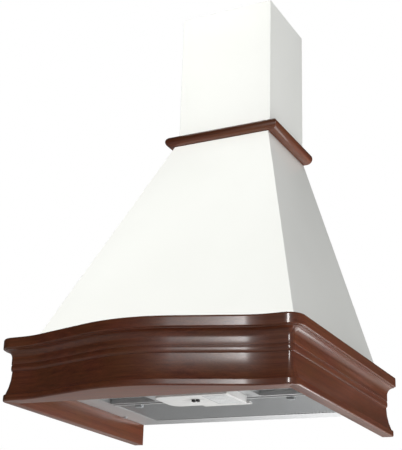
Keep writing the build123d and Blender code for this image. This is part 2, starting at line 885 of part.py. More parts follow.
with BuildPart() as filter_frame:
    with BuildSketch(level(cassette_bottom)):
        with Locations((0, from_wall(filter_rear + filter_depth / 2))):
            RectangleRounded(filter_width, filter_depth, cassette_corner)
    extrude(amount=cassette_height)
    block(
        (cassette_wall - cassette_half, cassette_half - cassette_wall),
        (filter_rear + cassette_wall, filter_front - cassette_wall),
        (face_bottom, cassette_top - cassette_wall),
        mode=Mode.SUBTRACT,
    )
    block(
        (cassette_lip - cassette_half, cassette_half - cassette_lip),
        (filter_rear + cassette_lip, filter_front - cassette_lip),
        (cassette_bottom - cut, cassette_top + cut),
        mode=Mode.SUBTRACT,
    )
    block(
        (cassette_wall - cassette_half, cassette_half - cassette_wall),
        (divider_front - cassette_wall, divider_front),
        (face_top, cassette_top),
    )
    for side in (-1, 1):
        slot_middle = side * pocket_offset
        slot_half = tongue_width / 2 + latch_clearance
        block(
            (slot_middle - slot_half, slot_middle + slot_half),
            (filter_front - 2 * cassette_wall, filter_front + cut),
            (tongue_bottom - latch_clearance, tongue_bottom + tongue_height + latch_clearance),
            mode=Mode.SUBTRACT,
        )
        hook_middle = side * hook_offset
        block(
            (hook_middle - hook_width / 2, hook_middle + hook_width / 2),
            (filter_rear - hook_length, filter_rear + cassette_wall),
            (panel_top + hook_clearance, panel_top + hook_clearance + hook_thickness),
        )

slot_count = int((filter_width - 2 * cassette_lip) / slot_pitch)
face_inset = cassette_wall + face_clearance
core_inset = cassette_wall + core_clearance
with BuildPart() as filter_face:
    block(
        (face_inset - cassette_half, cassette_half - face_inset),
        (filter_rear + face_inset, filter_front - face_inset),
        (face_bottom, face_top),
    )
    with BuildSketch(level(face_bottom)):
        with Locations((0, from_wall(filter_rear + cassette_lip + slot_length / 2))):
            with GridLocations(slot_pitch, slot_pitch, slot_count, 1):
                Rectangle(slot_width, slot_length)
        for side in (-1, 1):
            tab_middle = (tab_rear + tab_front - latch_travel) / 2
            tab_slot_length = tab_front - tab_rear + latch_travel + 2 * latch_clearance
            with Locations((side * pocket_offset, from_wall(tab_middle))):
                Rectangle(tab_width + 2 * latch_clearance, tab_slot_length)
    extrude(amount=face_sheet, mode=Mode.SUBTRACT)

with BuildPart() as filter_core:
    block(
        (core_inset - cassette_half, cassette_half - core_inset),
        (filter_rear + core_inset, divider_front - core_inset),
        (face_top, cassette_top - cassette_wall),
    )
    fillet(filter_core.edges().filter_by(Axis.Z), core_corner)


def filter_latch(side):
    """Sliding catch whose tongue lies on the edge of the opening."""
    middle = side * pocket_offset
    with BuildPart() as latch:
        block(
            (middle - latch_width / 2, middle + latch_width / 2),
            (latch_rear, latch_front),
            (latch_bottom, latch_bottom + latch_height),
        )
        fillet(latch.edges().filter_by(Axis.Z), latch_corner)
        block(
            (middle - tongue_width / 2, middle + tongue_width / 2),
            (latch_front - tongue_root, filter_front + latch_tongue),
            (tongue_bottom, tongue_bottom + tongue_height),
        )
        tip = latch.faces().filter_by(Axis.Y).sort_by(Axis.Y)[0]
        chamfer(tip.edges().filter_by(Axis.X).sort_by(Axis.Z)[0], tongue_bevel)
        block(
            (middle - tab_width / 2, middle + tab_width / 2),
            (tab_rear, tab_front),
            (latch_bottom - latch_tab_drop, latch_bottom),
        )
        tab_edges = latch.faces().sort_by(Axis.Z)[0].edges().filter_by(Axis.X)
        fillet(tab_edges, latch_corner)
    return latch


filter_latch_left = filter_latch(-1)
filter_latch_right = filter_latch(1)
save(filter_frame, "filter_frame")
save(filter_face, "filter_face")
save(filter_core, "filter_core")
save(filter_latch_left, "filter_latch_left")
save(filter_latch_right, "filter_latch_right")

# ---------------------------------------------------------------- control and lamp unit
def unit_outline(inset):
    """Plan of the unit: square on the right, rounded on the left."""
    radius = unit_end_radius - inset
    left = unit_left + inset
    right = unit_right - inset
    rear = from_wall(unit_rear + inset)
    front = from_wall(unit_front - inset)
    start = (right, rear)
    Polyline(start, (left + radius, rear))
    RadiusArc((left + radius, rear), (left, rear - radius), -radius)
    Line((left, rear - radius), (left, front + radius))
    RadiusArc((left, front + radius), (left + radius, front), -radius)
    Polyline((left + radius, front), (right, front), start)


with BuildPart() as control_housing:
    with BuildSketch(level(unit_bottom)):
        with BuildLine():
            unit_outline(0)
        make_face()
    extrude(amount=unit_height)
    fillet(control_housing.faces().sort_by(Axis.Z)[0].edges(), unit_foot_round)
    block(
        (lip_left, lip_right),
        (unit_rear - lip_depth, unit_rear + unit_foot_round),
        (unit_bottom, unit_bottom + lip_height),
    )
    with BuildSketch(level(unit_floor)):
        with BuildLine():
            unit_outline(unit_wall)
        make_face()
    extrude(amount=unit_height, mode=Mode.SUBTRACT)
    block(speed_slot, slot_line, (unit_bottom - cut, unit_floor + cut), mode=Mode.SUBTRACT)
    block(light_slot, slot_line, (unit_bottom - cut, unit_floor + cut), mode=Mode.SUBTRACT)
    block(
        (lens_left, lens_right),
        (lens_rear, lens_front),
        (unit_bottom - cut, unit_floor + cut),
        mode=Mode.SUBTRACT,
    )

rib_count = int((lens_right - lens_left - 2 * lens_fit) / lens_rib_pitch)
with BuildPart() as lamp_lens:
    block(
        (lens_left + lens_fit, lens_right - lens_fit),
        (lens_rear + lens_fit, lens_front - lens_fit),
        (unit_bottom, unit_floor),
    )
    block(
        (lens_left - unit_wall, lens_right + unit_wall),
        (lens_rear - unit_wall, lens_front + unit_wall),
        (unit_floor, unit_floor + lens_thickness),
    )
    with BuildSketch(level(unit_bottom)):
        with Locations(((lens_left + lens_right) / 2, from_wall((lens_rear + lens_front) / 2))):
            with GridLocations(lens_rib_pitch, lens_rib_pitch, rib_count, 1):
                Rectangle(lens_rib_pitch / 2, lens_front - lens_rear - 2 * lens_rib_margin)
    extrude(amount=-lens_rib_height)


def slider_knob(x):
    """Cap of a slide switch with its stem, in the off position."""
    cap_top = unit_bottom - knob_gap
    with BuildPart() as knob:
        block(
            (x - knob_width / 2, x + knob_width / 2),
            (knob_line - knob_depth / 2, knob_line + knob_depth / 2),
            (cap_top - knob_height, cap_top),
        )
        fillet(knob.faces().sort_by(Axis.Z)[0].edges(), knob_round)
        block(
            (x - knob_stem_width / 2, x + knob_stem_width / 2),
            (knob_line - knob_stem_depth / 2, knob_line + knob_stem_depth / 2),
            (cap_top - knob_round, unit_floor + stem_reach),
        )
    return knob


speed_knob = slider_knob(speed_knob_x)
light_knob = slider_knob(light_knob_x)

with BuildPart() as switch_block:
    block(switch_x, switch_line, (unit_floor, unit_floor + switch_height))
    fillet(switch_block.edges().filter_by(Axis.Z), switch_corner)
    for slot in (speed_slot, light_slot):
        block(slot, slot_line, (unit_floor - cut, unit_floor + stem_reach + knob_gap), mode=Mode.SUBTRACT)
    for terminal in range(terminal_count):
        terminal_x = switch_x[0] + (terminal + 0.5) * (switch_x[1] - switch_x[0]) / terminal_count
        block(
            (terminal_x - terminal_width / 2, terminal_x + terminal_width / 2),
            (knob_line - terminal_sheet / 2, knob_line + terminal_sheet / 2),
            (unit_floor + switch_height, unit_floor + switch_height + terminal_length),
        )

lamp_line = lens_rear + bulb_radius + lamp_gap
holder_end = lens_left - holder_gap
holder_start = holder_end - holder_length
with BuildPart() as lamp_holder:
    with BuildSketch(Plane(origin=(holder_start, from_wall(lamp_line), lamp_height), z_dir=(1, 0, 0))):
        Circle(holder_radius)
    extrude(amount=holder_length)
    chamfer(lamp_holder.edges().filter_by(GeomType.CIRCLE).sort_by(Axis.X)[0], holder_corner)
    with BuildSketch(Plane(origin=(holder_end, from_wall(lamp_line), lamp_height), z_dir=(-1, 0, 0))):
        Circle(bulb_cap_radius + bulb_play)
    extrude(amount=holder_depth, mode=Mode.SUBTRACT)

bulb_plane = Plane(origin=(holder_end, from_wall(lamp_line), lamp_height), x_dir=(1, 0, 0), z_dir=(0, -1, 0))
with BuildPart() as lamp_bulb:
    with BuildSketch(bulb_plane):
        with BuildLine():
            cap = Polyline(
                (-bulb_cap_length, 0), (-bulb_cap_length, bulb_cap_radius), (bulb_play, bulb_cap_radius)
            )
            globe = CenterArc((bulb_length - bulb_radius, 0), bulb_radius, 0, bulb_globe_angle)
            Line(cap @ 1, globe @ 1)
            Line(globe @ 0, cap @ 0)
        make_face()
    revolve(axis=Axis((0, from_wall(lamp_line), lamp_height), (1, 0, 0)))

with BuildPart() as lamp_bracket:
    block(
        (holder_start - holder_plate, holder_start),
        (lamp_line - holder_radius, lamp_line + holder_radius),
        (panel_top, lamp_height + holder_radius),
    )
    block(
        (holder_start - holder_radius, holder_start),
        (lamp_line - holder_radius, lamp_line + holder_radius),
        (panel_top, panel_top + holder_plate),
    )

save(control_housing, "control_housing")
save(lamp_lens, "lamp_lens")
save(speed_knob, "speed_knob")
save(light_knob, "light_knob")
save(switch_block, "switch_block")
save(lamp_holder, "lamp_holder")
save(lamp_bulb, "lamp_bulb")
save(lamp_bracket, "lamp_bracket")

# ---------------------------------------------------------------- centrifugal blower
# The scroll is drawn with four arcs whose centres lie on the corners of a small square.
half_step = scroll_step / 2
cutoff_x = scroll_cutoff_radius * math.cos(math.radians(cutoff_angle)) - half_step
outlet_far_x = half_step + scroll_cutoff_radius + 3 * scroll_step
outlet_width = outlet_far_x - cutoff_x
axis_setback = spigot_setback + (outlet_far_x + cutoff_x) / 2
flange_top = top_plate_bottom - gasket_height
side_outer = scroll_width / 2 + scroll_wall


def axis_plane(x, facing=1):
    """Plane square to the blower axis: its x points to the wall for facing 1, its y is up."""
    return Plane(origin=(x, from_wall(axis_setback), axis_height), x_dir=(0, facing, 0), z_dir=(facing, 0, 0))


def scroll_outline(grow):
    """The scroll and its outlet neck, with every wall moved outwards by this much."""
    radius_d = scroll_cutoff_radius + grow
    radius_c = radius_d + scroll_step
    radius_b = radius_c + scroll_step
    radius_a = radius_b + scroll_step
    tongue_x = cutoff_x - grow
    tongue_angle = math.degrees(math.acos((tongue_x + half_step) / radius_d))
    neck_top = flange_top - axis_height
    arc_a = CenterArc((half_step, half_step), radius_a, 0, -90)
    CenterArc((half_step, -half_step), radius_b, -90, -90)
    CenterArc((-half_step, -half_step), radius_c, 180, -90)
    arc_d = CenterArc((-half_step, half_step), radius_d, 90, tongue_angle - 90)
    Polyline(arc_d @ 1, (tongue_x, neck_top), ((arc_a @ 0).X, neck_top), arc_a @ 0)


def fan_housing(side):
    """One moulded half of the scroll; side is -1 on the inlet side and 1 on the motor side."""
    with BuildPart() as half:
        with BuildSketch(axis_plane(0)):
            with BuildLine():
                scroll_outline(scroll_wall)
            make_face()
        extrude(amount=side * side_outer)
        outlet_near = spigot_setback - outlet_width / 2
        outlet_far = spigot_setback + outlet_width / 2
        flange_x = sorted((0, side * (side_outer + outlet_flange)))
        block(
            flange_x,
            (outlet_near - outlet_flange, outlet_far + outlet_flange),
            (flange_top - flange_sheet, flange_top),
        )
        if side < 0:
            with BuildSketch(axis_plane(-side_outer)):
                Circle(inlet_radius + scroll_wall)
            extrude(amount=-inlet_lip)
        with BuildSketch(axis_plane(0)):
            with BuildLine():
                scroll_outline(0)
            make_face()
        extrude(amount=side * scroll_width / 2, mode=Mode.SUBTRACT)
        with BuildSketch(axis_plane(0)):
            Circle(inlet_radius if side < 0 else motor_hole_radius)
            if side > 0:
                with PolarLocations(motor_bolt_radius, motor_bolt_count, start_angle=90):
                    Circle(screw_radius + screw_play)
        extrude(amount=side * (side_outer + inlet_lip + cut), mode=Mode.SUBTRACT)
    return half


blower_screw_planes = [
    Plane(
        origin=(
            x_side * (side_outer + outlet_flange / 2),
            from_wall(spigot_setback + y_side * (outlet_width + outlet_flange) / 2),
            top_plate_top,
        )
    )
    for x_side in (-1, 1)
    for y_side in (-1, 1)
]
blower_screw_length = top_plate_sheet + gasket_height + flange_sheet + screw_end
fan_housing_left = drill_screws(fan_housing(-1), blower_screw_planes, blower_screw_length)
fan_housing_right = drill_screws(fan_housing(1), blower_screw_planes, blower_screw_length)
# the plate that carries the blower, punched like its gasket
with BuildPart() as canopy_top_plate:
    with BuildSketch(level(top_plate_bottom)):
        with Locations((0, from_wall(canopy_top_depth - sheet - panel_clearance))):
            Rectangle(
                2 * top_plate_half,
                canopy_top_depth - 3 * sheet - 2 * panel_clearance,
                align=(Align.CENTER, Align.MIN),
            )
        with Locations((0, from_wall(spigot_setback))):
            Rectangle(scroll_width, outlet_width, mode=Mode.SUBTRACT)
        with Locations((gland_x, from_wall(gland_setback))):
            Circle(gland_radius, mode=Mode.SUBTRACT)
    extrude(amount=top_plate_sheet)
canopy_top_plate = drill_screws(canopy_top_plate, blower_screw_planes, blower_screw_length)
with BuildPart() as blower_screws:
    for place in blower_screw_planes:
        add(screw(place, blower_screw_length))

with BuildPart() as outlet_gasket:
    with BuildSketch(level(flange_top)):
        with Locations((0, from_wall(spigot_setback))):
            RectangleRounded(
                2 * (side_outer + outlet_flange), outlet_width + 2 * outlet_flange, gasket_corner
            )
            Rectangle(scroll_width, outlet_width, mode=Mode.SUBTRACT)
    extrude(amount=gasket_height)
outlet_gasket = drill_screws(outlet_gasket, blower_screw_planes, blower_screw_length)

with BuildPart() as inlet_grille:
    grille_plane = axis_plane(-side_outer - inlet_lip)
    with BuildSketch(grille_plane):
        for radius in (inlet_radius + scroll_wall, *grille_rings):
            Circle(radius)
            Circle(radius - grille_bar, mode=Mode.SUBTRACT)
        for turn in range(3):
            Rectangle(2 * inlet_radius, grille_bar, rotation=turn * 60 + 30)
    extrude(amount=-grille_bar)


def blade_line():
    """Forward-curved blade, drawn as the middle line of its sheet."""
    inner = impeller_radius - blade_depth
    return ThreePointArc(
        (inner, 0),
        (inner + blade_depth * 0.55, blade_depth * 0.12),
        (impeller_radius - blade_thickness / 2, blade_depth * 0.5),
    )


with BuildPart() as impeller:
    with BuildSketch(axis_plane(-impeller_width / 2)):
        Circle(impeller_radius)
        Circle(impeller_radius - blade_ring_width, mode=Mode.SUBTRACT)
    extrude(amount=blade_ring)
    with BuildSketch(axis_plane(impeller_width / 2)):
        Circle(impeller_radius)
        with PolarLocations(disc_hole_circle, disc_hole_count):
            Circle(disc_hole_radius, mode=Mode.SUBTRACT)
    extrude(amount=-back_disc)
    with BuildSketch(axis_plane(impeller_width / 2)):
        Circle(hub_radius)
    extrude(amount=-hub_length)
    with BuildSketch(axis_plane(-impeller_width / 2)) as blades:
        with BuildLine(mode=Mode.PRIVATE) as blade:
            blade_line()
        with BuildSketch(Plane.XY, mode=Mode.PRIVATE) as blade_face:
            trace(blade.line, line_width=blade_thickness)
        with PolarLocations(0, blade_count):
            add(blade_face.sketch)
    extrude(amount=impeller_width)
    with BuildSketch(axis_plane(impeller_width / 2 + cut)):
        Circle(shaft_radius + hub_play)
    extrude(amount=-(hub_length + 2 * cut), mode=Mode.SUBTRACT)

motor_face = side_outer + grommet_height
motor_rear = motor_face + motor_flange_sheet + motor_length
boss_start = impeller_width / 2 + boss_gap
with BuildPart() as motor_body:
    with BuildSketch(axis_plane(motor_face)):
        Circle(motor_flange_radius)
    extrude(amount=motor_flange_sheet)
    with BuildSketch(axis_plane(motor_face)):
        Circle(motor_radius)
    extrude(amount=motor_flange_sheet + motor_length)
    fillet(motor_body.edges().filter_by(GeomType.CIRCLE).sort_by(Axis.X)[-1], motor_end_round)
    with BuildSketch(axis_plane(motor_face)):
        with PolarLocations(motor_radius, motor_rib_count):
            Rectangle(2 * motor_rib_height, motor_rib_width)
    extrude(amount=motor_rib_length)
    with BuildSketch(axis_plane(boss_start)):
        Circle(boss_radius)
    extrude(amount=motor_face - boss_start)
    with BuildSketch(axis_plane(boss_start - cut)):
        Circle(shaft_radius + shaft_play)
    extrude(amount=motor_rear - boss_start + 2 * cut, mode=Mode.SUBTRACT)
    with BuildSketch(axis_plane(boss_start - cut)):
        Circle(bearing_radius + screw_play)
    extrude(amount=bearing_length + cut, mode=Mode.SUBTRACT)
    with BuildSketch(axis_plane(motor_rear + cut)):
        Circle(bearing_radius + screw_play)
    extrude(amount=-bearing_length - cut, mode=Mode.SUBTRACT)
    with BuildSketch(axis_plane(motor_face - cut)):
        with PolarLocations(motor_bolt_radius, motor_bolt_count, start_angle=90):
            Circle(screw_radius + screw_play)
    extrude(amount=motor_flange_sheet + 2 * cut, mode=Mode.SUBTRACT)

with BuildPart() as motor_bearings:
    for start in (boss_start, motor_rear - bearing_length):
        with BuildSketch(axis_plane(start)):
            Circle(bearing_radius)
            Circle(shaft_radius + bearing_play, mode=Mode.SUBTRACT)
        extrude(amount=bearing_length)

shaft_start = impeller_width / 2 - hub_length
with BuildPart() as motor_shaft:
    with BuildSketch(axis_plane(shaft_start)):
        Circle(shaft_radius)
    extrude(amount=motor_rear + shaft_end - shaft_start)
    chamfer(motor_shaft.edges().filter_by(GeomType.CIRCLE), shaft_bevel)

with BuildPart() as motor_grommets:
    with BuildSketch(axis_plane(side_outer)):
        with PolarLocations(motor_bolt_radius, motor_bolt_count, start_angle=90):
            Circle(grommet_radius)
            Circle(screw_radius + screw_play, mode=Mode.SUBTRACT)
    extrude(amount=grommet_height)

with BuildPart() as motor_screws:
    for turn in range(motor_bolt_count):
        angle = math.radians(90 + turn * 360 / motor_bolt_count)
        bolt_y = from_wall(axis_setback) + motor_bolt_radius * math.cos(angle)
        bolt_z = axis_height + motor_bolt_radius * math.sin(angle)
        place = Plane(origin=(motor_face + motor_flange_sheet, bolt_y, bolt_z), z_dir=(1, 0, 0))
        add(screw(place, motor_flange_sheet + grommet_height + scroll_wall + motor_screw_end))

for piece, name in (
    (canopy_top_plate, "canopy_top_plate"),
    (fan_housing_left, "fan_housing_left"),
    (fan_housing_right, "fan_housing_right"),
    (blower_screws, "blower_screws"),
    (outlet_gasket, "outlet_gasket"),
    (inlet_grille, "inlet_grille"),
    (impeller, "impeller"),
    (motor_body, "motor_body"),
    (motor_bearings, "motor_bearings"),
    (motor_shaft, "motor_shaft"),
    (motor_grommets, "motor_grommets"),
    (motor_screws, "motor_screws"),
):
    save(piece, name)

# ---------------------------------------------------------------- outlet spigot and flaps
spigot_base = top_plate_top
spigot_bore = spigot_radius - spigot_wall
flap_bottom = spigot_base + flap_height
spindle_height = flap_bottom + flap_sheet / 2 + spindle_radius
flap_radius = spigot_bore - flap_gap
flap_inner = knuckle_radius + flap_root_gap


def spindle_plane(y):
    """Plane square to the flap spindle, facing the wall."""
    return Plane(origin=(0, y, spindle_height), x_dir=(-1, 0, 0), z_dir=(0, 1, 0))


with BuildPart() as outlet_spigot:
    with BuildSketch(level(spigot_base)):
        with Locations((0, from_wall(spigot_setback))):
            Circle(spigot_flange_radius)
            Circle(spigot_bore, mode=Mode.SUBTRACT)
    extrude(amount=sheet)
    with BuildSketch(level(spigot_base)):
        with Locations((0, from_wall(spigot_setback))):
            Circle(spigot_radius)
            Circle(spigot_bore, mode=Mode.SUBTRACT)
    extrude(amount=spigot_height)
    with BuildSketch(level(flap_bottom - knuckle_gap)):
        with Locations((0, from_wall(spigot_setback))):
            Circle(spigot_bore + seat_root)
            Circle(spigot_bore - flap_seat_width, mode=Mode.SUBTRACT)
    extrude(amount=-sheet)
    with BuildSketch(spindle_plane(from_wall(spigot_setback + spigot_radius + cut))):
        Circle(spindle_radius + knuckle_play)
    extrude(amount=2 * (spigot_radius + cut), mode=Mode.SUBTRACT)

with BuildPart() as flap_spindle:
    with BuildSketch(spindle_plane(from_wall(spigot_setback + spigot_radius))):
        Circle(spindle_radius)
    extrude(amount=2 * spigot_radius)


def damper_flap(side, knuckle_middles):
    """Half-round flap that hangs on its knuckles and closes on the seat."""
    with BuildPart() as flap:
        with BuildSketch(level(flap_bottom)):
            with Locations((0, from_wall(spigot_setback))):
                Circle(flap_radius)
            with Locations((-side * flap_radius + side * flap_inner, from_wall(spigot_setback))):
                Rectangle(2 * flap_radius, 2 * (flap_radius + cut), mode=Mode.SUBTRACT)
            for middle in knuckle_middles:
                tab_x = sorted((0, side * (flap_inner + cut)))
                with Locations(((tab_x[0] + tab_x[1]) / 2, from_wall(spigot_setback) + middle)):
                    Rectangle(tab_x[1] - tab_x[0], knuckle_length)
        extrude(amount=flap_sheet)
        for middle in knuckle_middles:
            start_y = from_wall(spigot_setback) + middle - knuckle_length / 2
            with BuildSketch(spindle_plane(start_y)):
                Circle(knuckle_radius)
            extrude(amount=knuckle_length)
        with BuildSketch(spindle_plane(from_wall(spigot_setback + flap_radius))):
            Circle(spindle_radius + knuckle_play)
        extrude(amount=2 * flap_radius, mode=Mode.SUBTRACT)
    return flap


damper_flap_left = damper_flap(-1, (-1.5 * knuckle_pitch, 0.5 * knuckle_pitch))
damper_flap_right = damper_flap(1, (-0.5 * knuckle_pitch, 1.5 * knuckle_pitch))
save(outlet_spigot, "outlet_spigot")
save(flap_spindle, "flap_spindle")
save(damper_flap_left, "damper_flap_left")
save(damper_flap_right, "damper_flap_right")

# ---------------------------------------------------------------- electrical pieces
with BuildPart() as terminal_box:
    block(
        (box_x - box_width / 2, box_x + box_width / 2),
        (sheet, sheet + box_depth),
        (box_bottom, box_bottom + box_height),
    )
    fillet(terminal_box.edges().filter_by(Axis.Y), box_corner)
    block(
        (box_x - box_width / 2 + box_wall, box_x + box_width / 2 - box_wall),
        (sheet + box_wall, sheet + box_depth + cut),
        (box_bottom + box_wall, box_bottom + box_height - box_wall),
        mode=Mode.SUBTRACT,
    )

with BuildPart() as terminal_box_lid:
    block(
        (box_x - box_width / 2, box_x + box_width / 2),
        (sheet + box_depth, sheet + box_depth + box_wall),
        (box_bottom, box_bottom + box_height),
    )
    fillet(terminal_box_lid.edges().filter_by(Axis.Y), box_corner)

strip_rear = sheet + box_wall
strip_middle = box_bottom + box_height / 2
with BuildPart() as terminal_strip:
    block(
        (box_x - box_width / 2 + strip_margin, box_x + box_width / 2 - strip_margin),
        (strip_rear, strip_rear + strip_depth),
        (strip_middle - strip_height / 2, strip_middle + strip_height / 2),
    )
    with BuildSketch(wall_plane(strip_rear + strip_depth)):
        with Locations((box_x, strip_middle)):
            with GridLocations(*strip_hole_pitch, *strip_hole_count):
                Circle(strip_hole_radius)
    extrude(amount=-strip_hole_depth, mode=Mode.SUBTRACT)

with BuildPart() as capacitor:
    block(
        (capacitor_x - capacitor_width / 2, capacitor_x + capacitor_width / 2),
        (sheet, sheet + capacitor_depth),
        (box_bottom, box_bottom + capacitor_height),
    )
    fillet(capacitor.faces().sort_by(Axis.Y)[0].edges(), box_corner)
    for offset in (-capacitor_width / 4, capacitor_width / 4):
        block(
            (capacitor_x + offset - tag_width / 2, capacitor_x + offset + tag_width / 2),
            (sheet + (capacitor_depth - tag_sheet) / 2, sheet + (capacitor_depth + tag_sheet) / 2),
            (box_bottom + capacitor_height, box_bottom + capacitor_height + tag_length),
        )

with BuildPart() as cable_gland:
    with BuildSketch(level(top_plate_bottom - gland_drop)):
        with Locations((gland_x, from_wall(gland_setback))):
            Circle(gland_radius - screw_play)
    extrude(amount=gland_drop + top_plate_sheet)
    with BuildSketch(level(top_plate_top)):
        with Locations((gland_x, from_wall(gland_setback))):
            Circle(gland_radius + gland_rim)
    extrude(amount=gland_rise)
    chamfer(cable_gland.edges().filter_by(GeomType.CIRCLE).sort_by(Axis.Z)[-1], gland_round)
    with BuildSketch(level(top_plate_bottom - gland_drop - cut)):
        with Locations((gland_x, from_wall(gland_setback))):
            Circle(gland_bore_radius)
    extrude(amount=gland_drop + top_plate_sheet + gland_rise + 2 * cut, mode=Mode.SUBTRACT)

save(terminal_box, "terminal_box")
save(terminal_box_lid, "terminal_box_lid")
save(terminal_strip, "terminal_strip")
save(capacitor, "capacitor")
save(cable_gland, "cable_gland")
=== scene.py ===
# A wall-hung kitchen range hood: a bowed and mitred hardwood cornice round an enamelled canopy,
# with a wooden collar under the duct cover and a steel underside that holds the grease filter.
# +X runs to the viewer's right, -Y faces the room, +Z is up, and lengths are metres.
import bmesh
import bpy
import math
from mathutils import Matrix, Vector


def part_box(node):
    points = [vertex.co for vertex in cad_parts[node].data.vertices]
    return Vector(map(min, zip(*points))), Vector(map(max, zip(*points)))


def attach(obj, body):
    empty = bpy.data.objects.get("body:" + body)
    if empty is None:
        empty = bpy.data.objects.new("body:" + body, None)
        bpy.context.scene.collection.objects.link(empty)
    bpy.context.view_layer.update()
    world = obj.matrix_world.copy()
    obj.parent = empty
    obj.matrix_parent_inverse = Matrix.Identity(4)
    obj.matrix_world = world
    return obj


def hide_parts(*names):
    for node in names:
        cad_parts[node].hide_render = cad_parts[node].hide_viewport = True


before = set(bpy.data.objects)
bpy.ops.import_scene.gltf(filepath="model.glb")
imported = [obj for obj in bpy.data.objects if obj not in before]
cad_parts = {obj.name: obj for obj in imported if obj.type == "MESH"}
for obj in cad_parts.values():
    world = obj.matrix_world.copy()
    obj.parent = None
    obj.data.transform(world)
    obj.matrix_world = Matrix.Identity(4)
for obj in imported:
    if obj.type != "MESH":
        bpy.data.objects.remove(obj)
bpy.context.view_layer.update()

# ---------------------------------------------------------------- cornice frame
# Three lengths of hardwood, mitred at the front corners and glued over dowels.  The front rail is
# cut to a bow, and the moulding is then run round the whole frame, round its corners too.
mm = 0.001
tiny = 0.01 * mm
front_low, front_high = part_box("front_moulding")
arm_low, arm_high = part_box("right_side_moulding")
wall = arm_high.y
half_frame = arm_high.x
frame_height = front_high.z
inner_half = arm_low.x
side_thickness = half_frame - inner_half
flat_line = wall - 515 * mm  # fascia of the two straight flats
bow_depth = flat_line - front_low.y
bow_half_width = 248 * mm
bow_radius = 300 * mm
reverse_radius = 150 * mm
corner_radius = 28 * mm
overrun = 10 * mm
wood_edge = 0.4 * mm


def leave_editing():
    """Goes back to object mode with nothing selected."""
    if bpy.context.object and bpy.context.object.mode == "EDIT":
        bpy.ops.object.mode_set(mode="OBJECT")
    bpy.ops.object.select_all(action="DESELECT")


def take(piece):
    """Makes this the one piece that is selected and active."""
    leave_editing()
    piece.select_set(True)
    bpy.context.view_layer.objects.active = piece


def start_piece(name, primitive, at, scale, turn=(0, 0, 0), **settings):
    """Adds a primitive at its place and size with nothing else selected, ready for editing."""
    leave_editing()
    primitive(location=at, rotation=turn, **settings)
    piece = bpy.context.object
    piece.name = name
    piece.data.name = name
    piece.scale = scale
    bpy.ops.object.transform_apply(location=True, rotation=True, scale=True)
    bpy.ops.object.mode_set(mode="EDIT")
    bpy.ops.mesh.select_mode(type="VERT")
    bpy.ops.mesh.select_all(action="SELECT")
    return piece


def pick(piece, kind, rule):
    """Selects the vertices, edges or faces that meet a rule on their middle and themselves."""
    bpy.ops.mesh.select_mode(type=kind)
    bpy.ops.mesh.select_all(action="DESELECT")
    mesh = bmesh.from_edit_mesh(piece.data)
    found = 0
    for item in {"VERT": mesh.verts, "EDGE": mesh.edges, "FACE": mesh.faces}[kind]:
        corners = [item.co] if kind == "VERT" else [corner.co for corner in item.verts]
        if rule(sum(corners, Vector()) / len(corners), item):
            item.select_set(True)
            found += 1
    mesh.select_flush_mode()
    bmesh.update_edit_mesh(piece.data)
    if not found:
        raise RuntimeError(f"nothing was picked on {piece.name}")


def lies_at(item, axis, value):
    """Whether each corner of an edge or face has this value along the axis 0, 1 or 2."""
    return all(abs(end.co[axis] - value) < tiny for end in item.verts)


def rise(edge):
    """How far an edge rises from one end to the other."""
    return abs(edge.verts[0].co.z - edge.verts[1].co.z)


def pull(x=0.0, y=0.0, z=0.0):
    """Extrudes what is selected and moves it by this much."""
    bpy.ops.mesh.extrude_region_move(TRANSFORM_OT_translate={"value": (x, y, z)})


def turn_about(steps, angle, centre, axis):
    """Spins what is selected by the right-hand rule, which the operator turns the other way round."""
    bpy.ops.mesh.spin(steps=steps, angle=-angle, center=centre, axis=axis)


def draw_outline(name, start, moves):
    """Draws an open section in the YZ plane: each place is how far out (-Y) and how high."""
    out, up = start
    piece = start_piece(name, bpy.ops.mesh.primitive_plane_add, (0, -out, up), (mm, mm, mm))
    bpy.ops.mesh.merge(type="CENTER")
    for move in moves:
        if move[0] == "line":
            bpy.ops.mesh.extrude_vertices_move(
                TRANSFORM_OT_translate={"value": (0, out - move[1][0], move[1][1] - up)}
            )
            out, up = move[1]
        else:
            centre, degrees = move[1], move[2]
            steps = max(3, round(abs(degrees) / 9))
            turn_about(steps, -math.radians(degrees), (0, -centre[0], centre[1]), (1, 0, 0))
            turned = Matrix.Rotation(math.radians(degrees), 2) @ Vector((out - centre[0], up - centre[1]))
            out, up = centre[0] + turned.x, centre[1] + turned.y
    return piece


def cut_off(at, normal):
    """Saws the piece in hand along a plane and takes away the side that the normal points to."""
    bpy.ops.mesh.select_mode(type="FACE")
    bpy.ops.mesh.select_all(action="SELECT")
    bpy.ops.mesh.bisect(plane_co=at, plane_no=normal, use_fill=True, clear_outer=True, threshold=tiny)


def face_out():
    """Turns every face of the piece in hand outward."""
    bpy.ops.mesh.select_all(action="SELECT")
    bpy.ops.mesh.normals_make_consistent(inside=False)


def set_down(piece, at, turn=0.0):
    """Turns the piece in hand about Z, moves it there and opens it for sawing."""
    bpy.ops.object.mode_set(mode="OBJECT")
    piece.rotation_euler = (0, 0, turn)
    piece.location = at
    bpy.ops.object.transform_apply(location=True, rotation=True, scale=True)
    bpy.ops.object.mode_set(mode="EDIT")


def apply_modifier(piece, kind, **settings):
    """Adds one modifier with its settings and applies it."""
    take(piece)
    modifier = piece.modifiers.new(kind.title(), kind)
    for key, value in settings.items():
        setattr(modifier, key, value)
    bpy.ops.object.modifier_apply(modifier=modifier.name)


